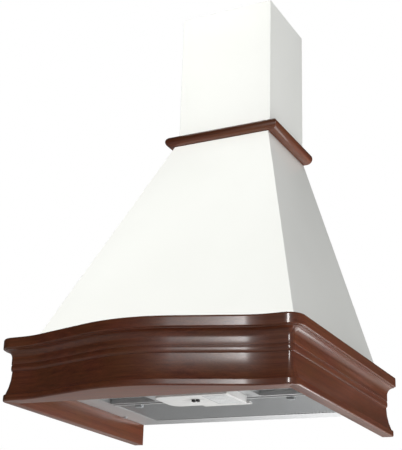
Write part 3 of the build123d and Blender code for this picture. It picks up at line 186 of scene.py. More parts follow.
# The section, from the top of the fascia down: shoulder, fascia, quirk, cavetto, astragal, cove, bead.
fascia_foot = frame_height - 20 * mm
top_round = 4 * mm
foot_round = 2 * mm
quirk = 4 * mm
cavetto_top = fascia_foot - 1.5 * mm
cavetto_radius = 14 * mm
neck = -quirk - cavetto_radius
neck_top = cavetto_top - cavetto_radius
astragal_root = neck - 1.2 * mm
astragal_top = neck_top - 11.5 * mm
astragal_half = 6.25 * mm
astragal_bulge = 1.3 * mm
astragal_radius = (astragal_half**2 + astragal_bulge**2) / (2 * astragal_bulge)
astragal_turn = 2 * math.degrees(math.asin(astragal_half / astragal_radius))
cove_setback = neck - 2.6 * mm
cove_top = astragal_top - 2 * astragal_half - 1.5 * mm
cove_radius = 104 * mm
cove_foot = 13 * mm
cove_turn = math.degrees(math.asin((cove_top - cove_foot) / cove_radius))
cove_end = cove_setback + cove_radius * (1 - math.cos(math.radians(cove_turn)))
bead_setback = -8 * mm
bead_round = bead_setback - cove_end
heel_round = 3 * mm
cornice_section = [
    ("arc", (-top_round, frame_height - top_round), -90),
    ("line", (0, fascia_foot + foot_round)),
    ("arc", (-foot_round, fascia_foot + foot_round), -90),
    ("line", (-quirk, fascia_foot)),
    ("line", (-quirk, cavetto_top)),
    ("arc", (-quirk, neck_top), 90),
    ("line", (neck, astragal_top)),
    ("line", (astragal_root, astragal_top)),
    ("arc", (astragal_root + astragal_bulge - astragal_radius, astragal_top - astragal_half), -astragal_turn),
    ("line", (cove_setback, astragal_top - 2 * astragal_half)),
    ("line", (cove_setback, cove_top)),
    ("arc", (cove_setback + cove_radius, cove_top), cove_turn),
    ("arc", (cove_end, cove_foot - bead_round), -90),
    ("line", (bead_setback, heel_round)),
    ("arc", (bead_setback - heel_round, heel_round), -90),
]


def back_up(piece, back):
    """Carries the top and the foot of a swept section to the plane of its back, and closes it."""
    for height in (frame_height, 0):
        pick(piece, "EDGE", lambda at, edge: lies_at(edge, 2, height))
        pull()
        bpy.ops.transform.resize(value=(1, 0, 1), center_override=(0, back, 0))
    pick(piece, "EDGE", lambda at, edge: lies_at(edge, 1, back) and rise(edge) < tiny)
    bpy.ops.mesh.bridge_edge_loops()


radius_sum = reverse_radius + bow_radius
bow_angle = math.asin(radius_sum / math.hypot(bow_half_width, radius_sum - bow_depth)) - math.atan2(
    radius_sum - bow_depth, bow_half_width
)
bow_straight = math.sqrt(bow_half_width**2 + bow_depth**2 - 2 * radius_sum * bow_depth)
corner_x = half_frame - corner_radius
corner_y = flat_line + corner_radius
past_mitre = math.radians(50)
corner_steps = 10
reverse_steps = 8
bow_steps = 24
front_cornice = draw_outline("front_cornice", (-top_round, frame_height), cornice_section)
bpy.ops.mesh.select_all(action="SELECT")
bpy.ops.transform.translate(value=(-corner_x, flat_line, 0))
turn_about(corner_steps, -past_mitre, (-corner_x, corner_y, 0), (0, 0, 1))
pick(front_cornice, "EDGE", lambda at, edge: lies_at(edge, 0, -corner_x))
pull(x=corner_x - bow_half_width)
hollow = (-bow_half_width, flat_line - reverse_radius, 0)
turn_about(reverse_steps, -bow_angle, hollow, (0, 0, 1))
pull(x=bow_straight * math.cos(bow_angle), y=-bow_straight * math.sin(bow_angle))
crown = (0, front_low.y + bow_radius, 0)
turn_about(bow_steps, 2 * bow_angle, crown, (0, 0, 1))
pull(x=bow_straight * math.cos(bow_angle), y=bow_straight * math.sin(bow_angle))
turn_about(reverse_steps, -bow_angle, (-hollow[0], hollow[1], 0), (0, 0, 1))
pull(x=corner_x - bow_half_width)
turn_about(corner_steps, past_mitre, (corner_x, corner_y, 0), (0, 0, 1))
back_up(front_cornice, flat_line + side_thickness)
for side in (-1, 1):
    cut_off((side * half_frame, flat_line, 0), (side, 1, 0))
pick(front_cornice, "FACE", lambda at, face: abs(at.y - flat_line - side_thickness) < tiny)
pull(y=front_high.y - flat_line - side_thickness)
face_out()

right_arm = draw_outline("right_cornice_arm", (-top_round, frame_height), cornice_section)
bpy.ops.mesh.select_all(action="SELECT")
turn_about(corner_steps, -past_mitre, (0, corner_radius, 0), (0, 0, 1))
pick(right_arm, "EDGE", lambda at, edge: lies_at(edge, 0, 0))
pull(x=wall - corner_y + overrun)
back_up(right_arm, side_thickness)
set_down(right_arm, (half_frame, corner_y, 0), math.pi / 2)
cut_off((0, wall, 0), (0, 1, 0))
cut_off((half_frame, flat_line, 0), (-1, -1, 0))
face_out()


def copy_piece(original, name):
    """A second piece like the first, with its own mesh, ready for editing."""
    leave_editing()
    copied = original.copy()
    copied.data = original.data.copy()
    copied.name = name
    copied.data.name = name
    bpy.context.collection.objects.link(copied)
    take(copied)
    bpy.ops.object.mode_set(mode="EDIT")
    bpy.ops.mesh.select_mode(type="VERT")
    bpy.ops.mesh.select_all(action="SELECT")
    return copied


left_arm = copy_piece(right_arm, "left_cornice_arm")
bpy.ops.transform.resize(value=(-1, 1, 1), center_override=(0, 0, 0))
face_out()


def linear(colour):
    """The linear colour of an sRGB hex value."""
    parts = [int(colour[at : at + 2], 16) / 255 for at in (1, 3, 5)]
    return (*(part / 12.92 if part <= 0.04045 else ((part + 0.055) / 1.055) ** 2.4 for part in parts), 1)


def node(owner, kind, inputs, **settings):
    """Adds one node with its settings, and sets or links its inputs."""
    made = owner.node_tree.nodes.new(kind)
    for key, value in settings.items():
        setattr(made, key, value)
    for key, value in inputs.items():
        if isinstance(value, bpy.types.NodeSocket):
            owner.node_tree.links.new(value, made.inputs[key])
        else:
            made.inputs[key].default_value = value
    return made


def open_finish(name):
    """Starts a material, and gives it with its places in metres on the piece."""
    finish = bpy.data.materials.new(name)
    finish.use_nodes = True
    finish.node_tree.nodes.clear()
    return finish, node(finish, "ShaderNodeTexCoord", {}).outputs["Object"]


def close_finish(finish, colour, roughness, relief, depth, **constants):
    """Ends a material: its colour, its gloss, and its relief this many metres deep."""
    bump = node(finish, "ShaderNodeBump", {"Height": relief, "Distance": depth})
    shader = node(finish, "ShaderNodeBsdfPrincipled",
                  {"Base Color": colour, "Roughness": roughness, "Normal": bump.outputs[0]})
    for key, value in constants.items():
        shader.inputs[key.replace("_", " ")].default_value = value
    node(finish, "ShaderNodeOutputMaterial", {"Surface": shader.outputs[0]})
    return finish


def walnut_stained_alder(name, turn):
    """Alder, planed along the grain, wiped with walnut stain and sprayed with satin lacquer."""
    # The lacquer is a clear coat over a stain that sits darker in the pores and late growth.
    finish, place = open_finish(name)
    along = node(finish, "ShaderNodeMapping", {"Vector": place, "Rotation": (0, 0, turn)}).outputs[0]
    # growth figure: bands some 300 mm long and 5 mm wide
    bands = node(finish, "ShaderNodeMapping", {"Vector": along, "Scale": (1 / 0.3, 1 / 0.007, 1 / 0.005)})
    figure = node(finish, "ShaderNodeTexNoise", {"Vector": bands.outputs[0], "Scale": 1, "Detail": 6,
                                                 "Roughness": 0.62, "Distortion": 0.2})
    depth = node(finish, "ShaderNodeMapRange",
                 {"Value": figure.outputs[0], "From Min": 0.3, "From Max": 0.7}).outputs[0]
    stain = node(finish, "ShaderNodeMixRGB",
                 {"Fac": depth, "Color1": linear("#5F2B19"), "Color2": linear("#86452A")}).outputs[0]
    # clouds where the stain was wiped on thicker, 90 mm long and 40 mm wide
    wiped = node(finish, "ShaderNodeMapping", {"Vector": along, "Scale": (1 / 0.09, 1 / 0.04, 1 / 0.04)})
    clouds = node(finish, "ShaderNodeTexNoise", {"Vector": wiped.outputs[0], "Scale": 1, "Detail": 2})
    thicker = node(finish, "ShaderNodeMapRange",
                   {"Value": clouds.outputs[0], "From Min": 0.35, "From Max": 0.7,
                    "To Max": 0.35}).outputs[0]
    wiped_stain = node(finish, "ShaderNodeMixRGB",
                       {"Fac": thicker, "Color1": stain, "Color2": linear("#70471D")}).outputs[0]
    # pores: 18 mm long and 0.4 mm wide, drawn 0.9 mm wide so that they show from two metres
    strokes = node(finish, "ShaderNodeMapping",
                   {"Vector": along, "Scale": (1 / 0.018, 1 / 0.0009, 1 / 0.0009)})
    pores = node(finish, "ShaderNodeTexNoise", {"Vector": strokes.outputs[0], "Scale": 1, "Detail": 2})
    open_pores = node(finish, "ShaderNodeMapRange",
                      {"Value": pores.outputs[0], "From Min": 0.5, "From Max": 0.75,
                       "To Max": 0.4}).outputs[0]
    colour = node(finish, "ShaderNodeMixRGB",
                  {"Fac": open_pores, "Color1": wiped_stain, "Color2": linear("#3A170B")}).outputs[0]
    gloss = node(finish, "ShaderNodeMapRange",
                 {"Value": figure.outputs[0], "To Min": 0.4, "To Max": 0.5}).outputs[0]
    return close_finish(finish, colour, gloss, pores.outputs[0], 0.00005,
                        IOR=1.5, Specular_IOR_Level=0.2, Coat_Weight=0.7, Coat_Roughness=0.18, Coat_IOR=1.5)


def dress(piece, finish):
    """Gives the whole piece one finish."""
    for place in piece.material_slots:
        place.material = finish
    if not piece.material_slots:
        piece.data.materials.append(finish)


def complete(piece, finish, body, nodes, edge=0.0):
    """Eases the sharp edges, smooths the curves, dresses the piece and hands it to its body."""
    sharp = math.radians(35)
    if edge:
        apply_modifier(piece, "BEVEL", width=edge, segments=2, limit_method="ANGLE", angle_limit=sharp)
    take(piece)
    bpy.ops.object.shade_smooth_by_angle(angle=sharp)
    dress(piece, finish)
    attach(piece, body)
    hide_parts(*nodes)


long_grain = walnut_stained_alder("walnut_stained_alder_long", 0)
cross_grain = walnut_stained_alder("walnut_stained_alder_cross", math.pi / 2)
complete(front_cornice, long_grain, "hood", ["front_moulding"], edge=wood_edge)
complete(left_arm, cross_grain, "hood", ["left_side_moulding"], edge=wood_edge)
complete(right_arm, cross_grain, "hood", ["right_side_moulding"], edge=wood_edge)

# ---------------------------------------------------------------- dowels and screws of the frame
# Fluted beech dowels lie across each glued mitre.  Steel screws through the canopy's skirt hold
# the three mouldings, and are seen only from inside.
def turned_beech():
    """Beech, turned and left bare: pale, with short brown flecks along the grain."""
    finish, place = open_finish("turned_beech")
    # flecks 3 mm long and 0.5 mm wide
    rays = node(finish, "ShaderNodeMapping", {"Vector": place, "Scale": (1 / 0.003, 1 / 0.0005, 1 / 0.0005)})
    flecks = node(finish, "ShaderNodeTexNoise", {"Vector": rays.outputs[0], "Scale": 1})
    shade = node(finish, "ShaderNodeMixRGB",
                 {"Fac": flecks.outputs[0], "Color1": linear("#D8B48A"),
                  "Color2": linear("#B98C5E")}).outputs[0]
    return close_finish(finish, shade, 0.6, flecks.outputs[0], 0.00005, IOR=1.5)


def zinc_plated_steel():
    """Steel screws, zinc plated: bright, slightly blue, with a soft mottle."""
    finish, place = open_finish("zinc_plated_steel")
    # plating mottle of 1.5 mm
    mottle = node(finish, "ShaderNodeTexNoise", {"Vector": place, "Scale": 1 / 0.0015, "Detail": 2})
    shade = node(finish, "ShaderNodeMixRGB",
                 {"Fac": mottle.outputs[0], "Color1": linear("#B9BEC4"),
                  "Color2": linear("#D3D5D6")}).outputs[0]
    gloss = node(finish, "ShaderNodeMapRange",
                 {"Value": mottle.outputs[0], "To Min": 0.22, "To Max": 0.38}).outputs[0]
    return close_finish(finish, shade, gloss, mottle.outputs[0], 0.00002, Metallic=1)


def dress_solids(finish, *names):
    """Gives one finish to solids that are carried over as they are."""
    for name in names:
        dress(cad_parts[name], finish)


dress_solids(turned_beech(), "mitre_dowels")
plated = zinc_plated_steel()
dress_solids(plated, "frame_screws", "collar_screws", "panel_screws", "blower_screws", "motor_screws")

# ---------------------------------------------------------------- canopy
# Sheet steel, 1.2 mm, folded into a four-sided slope over an upright skirt, welded at the hips and
# sprayed with cream enamel.  Flanges turn in at the wall, at the foot and round the top opening.
shell_low, shell_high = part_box("canopy_shell")
sheet = 1.2 * mm
skirt_half = shell_high.x
skirt_depth = wall - shell_low.y
slope_half = skirt_half - 2 * mm
slope_depth = skirt_depth - 23.5 * mm
top_half = 110 * mm
top_depth = 203 * mm
skirt_flange = 14 * mm
wall_flange = 15 * mm
top_rim = 14 * mm
top_rim_front = 23 * mm
canopy_fold = 0.9 * mm
canopy = start_piece(
    "canopy_hood",
    bpy.ops.mesh.primitive_plane_add,
    (0, wall - slope_depth / 2, frame_height),
    (2 * slope_half, slope_depth, 1),
    size=1,
)
pull(z=shell_high.z - frame_height)
bpy.ops.transform.resize(
    value=(top_half / slope_half, top_depth / slope_depth, 1), center_override=(0, wall, shell_high.z)
)
pick(canopy, "FACE", lambda at, face: abs(at.y - wall) < tiny or abs(at.z - frame_height) < tiny)
bpy.ops.mesh.delete(type="FACE")
pick(canopy, "EDGE", lambda at, edge: abs(at.z - frame_height) < tiny)
pull()
bpy.ops.transform.resize(
    value=(skirt_half / slope_half, skirt_depth / slope_depth, 1), center_override=(0, wall, frame_height)
)
pull(z=shell_low.z - frame_height)
pull()
bpy.ops.transform.resize(
    value=(1 - skirt_flange / skirt_half, 1 - skirt_flange / skirt_depth, 1),
    center_override=(0, wall, shell_low.z),
)
for side in (-1, 1):
    pick(canopy, "EDGE", lambda at, edge: at.x * side > 0 and lies_at(edge, 1, wall) and rise(edge) > 5 * mm)
    pull(x=-side * wall_flange)
pick(canopy, "FACE", lambda at, face: abs(at.z - shell_high.z) < tiny)
bpy.ops.mesh.inset(thickness=top_rim)
pick(canopy, "EDGE", lambda at, edge: lies_at(edge, 2, shell_high.z)
     and lies_at(edge, 1, wall - top_depth + top_rim))
bpy.ops.transform.translate(value=(0, top_rim_front - top_rim, 0))
pick(canopy, "FACE", lambda at, face: lies_at(face, 2, shell_high.z)
     and all(abs(end.co.x) < top_half - top_rim / 2 for end in face.verts))
bpy.ops.mesh.delete(type="FACE")


def fold_sheet(piece, radius, steps, thickness):
    """Rounds the folds of a sheet and gives it its thickness, inward from the face that is drawn."""
    face_out()
    bpy.ops.mesh.select_mode(type="EDGE")
    bpy.ops.mesh.select_all(action="DESELECT")
    bpy.ops.mesh.edges_select_sharp(sharpness=math.radians(20))
    bpy.ops.mesh.bevel(offset=radius, segments=steps, affect="EDGES")
    apply_modifier(piece, "SOLIDIFY", thickness=thickness, offset=-1, use_even_offset=True)


fold_sheet(canopy, canopy_fold, 3, sheet)


def cream_enamel():
    """Powder enamel baked on steel: warm white and glossy, with the faint ripple of a sprayed coat."""
    finish, place = open_finish("baked_cream_enamel")
    # ripple of the coat: 2.2 mm across and a few hundredths of a millimetre high
    ripple = node(finish, "ShaderNodeTexNoise", {"Vector": place, "Scale": 1 / 0.0022, "Detail": 1})
    # slow drift of the coat's thickness over some 200 mm
    drift = node(finish, "ShaderNodeTexNoise", {"Vector": place, "Scale": 1 / 0.2, "Detail": 2})
    shade = node(finish, "ShaderNodeMixRGB",
                 {"Fac": drift.outputs[0], "Color1": linear("#F1F2EC"),
                  "Color2": linear("#F7F8F3")}).outputs[0]
    gloss = node(finish, "ShaderNodeMapRange",
                 {"Value": drift.outputs[0], "To Min": 0.3, "To Max": 0.38}).outputs[0]
    return close_finish(finish, shade, gloss, ripple.outputs[0], 0.00002,
                        IOR=1.5, Coat_Weight=0.25, Coat_Roughness=0.12)


enamel = cream_enamel()
complete(canopy, enamel, "hood", ["canopy_shell"])

# ---------------------------------------------------------------- back panel, top plate and bracket
# Plain galvanised sheets that close the back and the top of the canopy, and the wall bracket that
# the upper duct cover is screwed to.
def galvanised_sheet():
    """Hot-dip galvanised steel: dull grey with the crystals of the zinc."""
    finish, place = open_finish("galvanised_sheet")
    # zinc crystals of 9 mm
    spangle = node(finish, "ShaderNodeTexVoronoi", {"Vector": place, "Scale": 1 / 0.009})
    shade = node(finish, "ShaderNodeMixRGB",
                 {"Fac": spangle.outputs["Color"], "Color1": linear("#8E9498"),
                  "Color2": linear("#B4B9BB")}).outputs[0]
    # rolling streaks 40 mm long and 1 mm wide
    rolled = node(finish, "ShaderNodeMapping", {"Vector": place, "Scale": (1 / 0.04, 1 / 0.001, 1 / 0.001)})
    streaks = node(finish, "ShaderNodeTexNoise", {"Vector": rolled.outputs[0], "Scale": 1})
    gloss = node(finish, "ShaderNodeMapRange",
                 {"Value": streaks.outputs[0], "To Min": 0.38, "To Max": 0.55}).outputs[0]
    return close_finish(finish, shade, gloss, streaks.outputs[0], 0.00002, Metallic=1)


dress_solids(galvanised_sheet(), "canopy_back_panel", "canopy_top_plate", "cover_bracket", "lamp_bracket",
             "outlet_spigot")

# ---------------------------------------------------------------- duct covers
# Two sleeves of 1 mm sheet, folded with a small radius and enamelled like the canopy.  The upper
# one slides inside the lower one, so that the cover can be drawn up to the ceiling.
duct_sheet = 1 * mm
duct_return = 15 * mm
fold_radius = 1.8 * mm


def start_block(name, low, high):
    """A block between two corners, ready for editing."""
    return start_piece(name, bpy.ops.mesh.primitive_cube_add, (low + high) / 2, high - low, size=1)


def fold_cover(name, low, high):
    """Folds a sleeve that is open to the wall, above and below."""
    cover = start_block(name, low, high)
    pick(cover, "FACE", lambda at, face: abs(face.normal.z) > 0.9 or face.normal.y > 0.9)
    bpy.ops.mesh.delete(type="FACE")
    for side in (-1, 1):
        pick(cover, "EDGE", lambda at, edge: abs(at.y - high.y) < tiny and at.x * side > 0
             and rise(edge) > mm)
        pull(x=-side * duct_return)
    fold_sheet(cover, fold_radius, 4, duct_sheet)
    return cover


lower_low, lower_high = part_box("lower_duct_cover")
upper_low, upper_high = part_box("upper_duct_cover")
lower_cover = fold_cover("lower_cover_sleeve", lower_low, lower_high)
upper_cover = fold_cover("upper_cover_sleeve", upper_low, upper_high)
complete(lower_cover, enamel, "hood", ["lower_duct_cover"])
complete(upper_cover, enamel, "upper_cover", ["upper_duct_cover"])

# ---------------------------------------------------------------- wooden collar
# A half-round strip of the same alder round the foot of the duct cover, mitred at its two corners
# and screwed from inside the sleeve.
collar_low, collar_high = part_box("collar_front")
collar_depth = collar_high.y - collar_low.y
nose_radius = (collar_high.z - collar_low.z) / 2
nose_middle = (collar_depth - nose_radius, collar_low.z + nose_radius)
collar_section = [
    ("line", (collar_depth - nose_radius, collar_high.z)),
    ("arc", nose_middle, -180),
    ("line", (0, collar_low.z)),
]


def run_collar(name, length):
    """One length of the strip along +X, its back on y = 0, closed behind."""
    strip = draw_outline(name, (0, collar_high.z), collar_section)
    bpy.ops.mesh.select_all(action="SELECT")
    pull(x=length)
    pick(strip, "EDGE", lambda at, edge: lies_at(edge, 1, 0) and rise(edge) < tiny)
    bpy.ops.mesh.bridge_edge_loops()
    return strip


duct_half = lower_high.x
duct_front = lower_low.y
front_strip = run_collar("collar_strip_front", 2 * (collar_high.x + overrun))
set_down(front_strip, (-collar_high.x - overrun, duct_front, 0))
for side in (-1, 1):
    cut_off((side * duct_half, duct_front, 0), (side, 1, 0))
face_out()
complete(front_strip, long_grain, "hood", ["collar_front"], edge=wood_edge)
strip_length = wall - collar_low.y + 2 * overrun
for side, name, start in ((-1, "left", wall + overrun), (1, "right", collar_low.y - overrun)):
    strip = run_collar(f"collar_strip_{name}", strip_length)
    set_down(strip, (side * duct_half, start, 0), side * math.pi / 2)
    cut_off((0, wall, 0), (0, 1, 0))
    cut_off((side * duct_half, duct_front, 0), (-side, -1, 0))
    face_out()
    complete(strip, cross_grain, "hood", [f"collar_{name}"], edge=wood_edge)

# ---------------------------------------------------------------- underside panel
# Satin-rolled steel sheet, 1 mm, that closes the canopy below.  It is punched for the filter, the
# switches and the lamp, and has two finger pockets pressed up in front of the filter.
panel_low, panel_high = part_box("underside_panel")
panel_sheet = 1 * mm
filter_half = 218.5 * mm  # half the width of the filter opening
filter_back = wall - 42.5 * mm
filter_front = wall - 224 * mm
pocket_middle = 163 * mm
pocket_half = 52.5 * mm
pocket_margin = 8 * mm
pocket_front = wall - 298 * mm
pocket_height = 9 * mm
pocket_corner = 8 * mm
opening_lip = 6 * mm
lens_left = 30 * mm
lens_right = 80 * mm
lens_back = wall - 246 * mm
lens_front = wall - 320 * mm
switch_low, switch_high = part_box("switch_block")
switch_play = 0.3 * mm
panel = start_piece(
    "underside_sheet",
    bpy.ops.mesh.primitive_plane_add,
    (0, (panel_low.y + wall) / 2, panel_low.z),
    (2 * panel_high.x, wall - panel_low.y, 1),
    size=1,
)


def crease(piece, rule, at, normal):
    """Marks a straight line across the picked faces, where the sheet will be punched or pressed."""
    pick(piece, "FACE", rule)
    bpy.ops.mesh.bisect(plane_co=at, plane_no=normal)


for line in (filter_back, filter_front):
    crease(panel, lambda at, face: True, (0, line, 0), (0, 1, 0))
for side in (-1, 1):
    crease(panel, lambda at, face: filter_front < at.y < filter_back, (side * filter_half, 0, 0), (1, 0, 0))
pick(panel, "FACE", lambda at, face: filter_front < at.y < filter_back and abs(at.x) < filter_half)
bpy.ops.mesh.delete(type="FACE")
for side in (-1, 1):
    pick(panel, "EDGE", lambda at, edge: lies_at(edge, 0, side * filter_half))
    pull(z=panel_sheet + opening_lip)
for side in (-1, 1):
    for reach in (-pocket_half - pocket_margin, pocket_half + pocket_margin):
        crease(panel, lambda at, face: at.y < filter_front, (side * (pocket_middle + reach), 0, 0), (1, 0, 0))
    crease(panel, lambda at, face: at.y < filter_front and abs(at.x - side * pocket_middle) < pocket_half,
           (0, pocket_front, 0), (0, 1, 0))
    pick(panel, "FACE", lambda at, face: pocket_front < at.y < filter_front
         and abs(at.x - side * pocket_middle) < pocket_half)
    bpy.ops.mesh.inset(thickness=pocket_margin)
    pull(z=pocket_height)
    pick(panel, "EDGE", lambda at, edge: rise(edge) > 5 * mm and at.y < filter_front and at.x * side > 0)
    bpy.ops.mesh.bevel(offset=pocket_corner, segments=6, affect="EDGES")
switch_left = switch_low.x - switch_play
switch_right = switch_high.x + switch_play
for edge_x in (switch_left, switch_right, lens_left, lens_right):
    crease(panel, lambda at, face: at.y < filter_front and abs(at.x) < pocket_middle - pocket_half
           and abs(at.z - panel_low.z) < tiny, (edge_x, 0, 0), (1, 0, 0))
for left, right, front, back in (
    (lens_left, lens_right, lens_front, lens_back),
    (switch_left, switch_right, switch_low.y - switch_play, switch_high.y + switch_play),
):
    for line in (front, back):
        crease(panel, lambda at, face: at.y < filter_front and left < at.x < right, (0, line, 0), (0, 1, 0))
    pick(panel, "FACE", lambda at, face: left < at.x < right and front < at.y < back)
    bpy.ops.mesh.delete(type="FACE")
face_out()
apply_modifier(panel, "SOLIDIFY", thickness=panel_sheet, offset=1)


def satin_steel(name, base, bright):
    """Stainless sheet with a satin roll finish: grey, with fine streaks from left to right."""
    finish, place = open_finish(name)
    # streaks 60 mm long and 0.25 mm apart, drawn 1 mm apart so that they show
    rolled = node(finish, "ShaderNodeMapping", {"Vector": place, "Scale": (1 / 0.06, 1 / 0.001, 1 / 0.001)})
    streaks = node(finish, "ShaderNodeTexNoise", {"Vector": rolled.outputs[0], "Scale": 1, "Detail": 3})
    shade = node(finish, "ShaderNodeMixRGB",
                 {"Fac": streaks.outputs[0], "Color1": linear(base), "Color2": linear(bright)}).outputs[0]
    gloss = node(finish, "ShaderNodeMapRange",
                 {"Value": streaks.outputs[0], "To Min": 0.46, "To Max": 0.6}).outputs[0]
    return close_finish(finish, shade, gloss, streaks.outputs[0], 0.00003, Metallic=1, Anisotropic=0.3)


panel_steel = satin_steel("satin_rolled_steel", "#B4B5B6", "#D2D3D3")
complete(panel, panel_steel, "hood", ["underside_panel"], edge=0.25 * mm)

# ---------------------------------------------------------------- panel screws
# Six zinc-plated pan-head screws with a cross recess hold the panel to the canopy's foot flange.
head_radius = 4 * mm
head_height = 2 * mm
head_rim = 0.9 * mm  # bevel round the head
head_crown = 0.35 * mm  # how far its face stands proud of the rim
screw_radius = 2 * mm
screw_length = 4.2 * mm
recess = (4.4 * mm, 0.9 * mm, 2.2 * mm)  # one blade of the cross
recess_turn = 0.3
screw_spots = [(side * 262 * mm, wall - depth * mm) for side in (-1, 1) for depth in (95.1, 309.075)]
screw_spots += [(side * 134.5 * mm, wall - 468.5 * mm) for side in (-1, 1)]
first_screw = start_piece(
    "panel_screw_1",
    bpy.ops.mesh.primitive_cylinder_add,
    (*screw_spots[0], panel_low.z - head_height / 2),
    (1, 1, 1),
    radius=head_radius,
    depth=head_height,
    vertices=24,
)
pick(first_screw, "FACE", lambda at, face: face.normal.z < -0.9)
bpy.ops.mesh.inset(thickness=head_rim)
bpy.ops.transform.translate(value=(0, 0, -head_crown))
pick(first_screw, "FACE", lambda at, face: face.normal.z > 0.9)
bpy.ops.mesh.inset(thickness=head_radius - screw_radius)
pull(z=screw_length)


def cut_away(piece, cutter):
    """Takes the volume of a cutter out of the piece, and removes the cutter."""
    apply_modifier(piece, "BOOLEAN", operation="DIFFERENCE", solver="EXACT", object=cutter)
    bpy.data.objects.remove(cutter)


for turn in (recess_turn, recess_turn + math.pi / 2):
    blade = start_piece(
        "recess_cutter",
        bpy.ops.mesh.primitive_cube_add,
        (*screw_spots[0], panel_low.z - head_height),
        recess,
        turn=(0, 0, turn),
        size=1,
    )
    cut_away(first_screw, blade)
panel_screws = [first_screw]
for number, spot in enumerate(screw_spots[1:], 2):
    panel_screws.append(copy_piece(first_screw, f"panel_screw_{number}"))
    bpy.ops.transform.translate(value=(spot[0] - screw_spots[0][0], spot[1] - screw_spots[0][1], 0))
for screw in panel_screws:
    complete(screw, plated, "hood", ["panel_screws"])

# ---------------------------------------------------------------- grease filter
# A folded steel cassette that hooks in at the wall and hangs open for washing.  Its face is
# expanded aluminium mesh with a row of punched slots along the wall, over a knitted aluminium pad.
face_low, face_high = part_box("filter_face")
core_low, core_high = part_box("filter_core")
mesh_pitch = 7.2 * mm
mesh_rows = 4.4 * mm
strand = 0.75 * mm
mesh_sheet = 0.5 * mm
across = round((face_high.x - face_low.x) / mesh_pitch)
pad_back = wall - 59 * mm  # the pad stops short of the wall, behind the slots
slot_web = 1.7 * mm
pad = start_block("knitted_pad", core_low, Vector((core_high.x, pad_back, core_high.z)))


def knitted_aluminium():
    """Aluminium wire knitted and pressed into a pad: loops of dull wire, with painted shade in the gaps
    between them.
    """
    finish, place = open_finish("knitted_aluminium")
    # loops of 3 mm
    loops = node(finish, "ShaderNodeTexVoronoi", {"Vector": place, "Scale": 1 / 0.003},
                 feature="DISTANCE_TO_EDGE")
    wire = node(finish, "ShaderNodeMapRange",
                {"Value": loops.outputs["Distance"], "From Max": 0.25, "To Min": 1, "To Max": 0}).outputs[0]
    # the darker colour in the gaps between the loops is painted shade for the depth of the pad; the lighter
    # one is the wire's own grey
    shade = node(finish, "ShaderNodeMixRGB",
                 {"Fac": wire, "Color1": linear("#4A4C4E"), "Color2": linear("#B2B5B7")}).outputs[0]
    return close_finish(finish, shade, wire, wire, 0.0004, Metallic=0.9)


complete(pad, knitted_aluminium(), "filter", ["filter_core"])


def cut_sheet(name, front, back, rows):
    """A thin sheet ruled into cells, one across for each pitch of the mesh."""
    return start_piece(
        name,
        bpy.ops.mesh.primitive_grid_add,
        ((face_low.x + face_high.x) / 2, (front + back) / 2, face_low.z),
        (face_high.x - face_low.x, back - front, 1),
        size=1,
        x_subdivisions=across,
        y_subdivisions=rows,
    )


def open_cells(sheet, web):
    """Cuts the hole out of every cell, leaves a web round it and gives the sheet its thickness."""
    bpy.ops.mesh.select_mode(type="FACE")
    bpy.ops.mesh.select_all(action="SELECT")
    bpy.ops.mesh.inset(thickness=web, use_individual=True)
    bpy.ops.mesh.delete(type="FACE")
    face_out()
    apply_modifier(sheet, "SOLIDIFY", thickness=mesh_sheet, offset=0)


rows = round((pad_back - face_low.y) / mesh_rows)
mesh_face = cut_sheet("expanded_mesh_face", face_low.y, pad_back, rows)
bpy.ops.mesh.poke()
pick(mesh_face, "EDGE", lambda at, edge: len(edge.link_faces) == 2
     and (abs(edge.verts[0].co.x - edge.verts[1].co.x) < tiny
          or abs(edge.verts[0].co.y - edge.verts[1].co.y) < tiny))
bpy.ops.mesh.dissolve_edges(use_verts=False)
open_cells(mesh_face, strand)
slot_row = cut_sheet("slotted_rear_row", pad_back, face_high.y, 1)
open_cells(slot_row, slot_web)


def bright_aluminium(name, deep, base):
    """Aluminium mesh, cut and drawn: bright strands with a satin skin."""
    finish, place = open_finish(name)
    # draw marks of 1.2 mm
    marks = node(finish, "ShaderNodeTexNoise", {"Vector": place, "Scale": 1 / 0.0012, "Detail": 2})
    shade = node(finish, "ShaderNodeMixRGB",
                 {"Fac": marks.outputs[0], "Color1": linear(deep), "Color2": linear(base)}).outputs[0]
    gloss = node(finish, "ShaderNodeMapRange",
                 {"Value": marks.outputs[0], "To Min": 0.3, "To Max": 0.45}).outputs[0]
    return close_finish(finish, shade, gloss, marks.outputs[0], 0.00004, Metallic=1)


drawn_aluminium = bright_aluminium("drawn_aluminium", "#A6A9AB", "#D6D8D9")
complete(mesh_face, drawn_aluminium, "filter", ["filter_face"])
complete(slot_row, drawn_aluminium, "filter", ["filter_face"])
dress_solids(satin_steel("satin_rolled_frame", "#BCBEBF", "#DADBDB"), "filter_frame")


def moulded_plastic(name, colour, grain, roughness, **constants):
    """Injection-moulded plastic: even colour under the fine spark grain of its mould."""
    finish, place = open_finish(name)
    # the grain's size is given in millimetres
    spark = node(finish, "ShaderNodeTexNoise", {"Vector": place, "Scale": 1000 / grain, "Detail": 2})
    # flow of the melt: soft clouds of 25 mm, a few per cent lighter and darker
    flow = node(finish, "ShaderNodeTexNoise", {"Vector": place, "Scale": 1 / 0.025})
    value = node(finish, "ShaderNodeMapRange",
                 {"Value": flow.outputs[0], "To Min": 0.94, "To Max": 1.05}).outputs[0]
    shade = node(finish, "ShaderNodeHueSaturation", {"Color": linear(colour), "Value": value})
    gloss = node(finish, "ShaderNodeMapRange",
                 {"Value": spark.outputs[0], "To Min": roughness - 0.06,
                  "To Max": roughness + 0.06}).outputs[0]
    return close_finish(finish, shade.outputs[0], gloss, spark.outputs[0], 0.00003, **constants)


dress_solids(moulded_plastic("grey_acetal", "#B4B8BA", 0.8, 0.42, IOR=1.48), "filter_latch_left",
             "filter_latch_right")

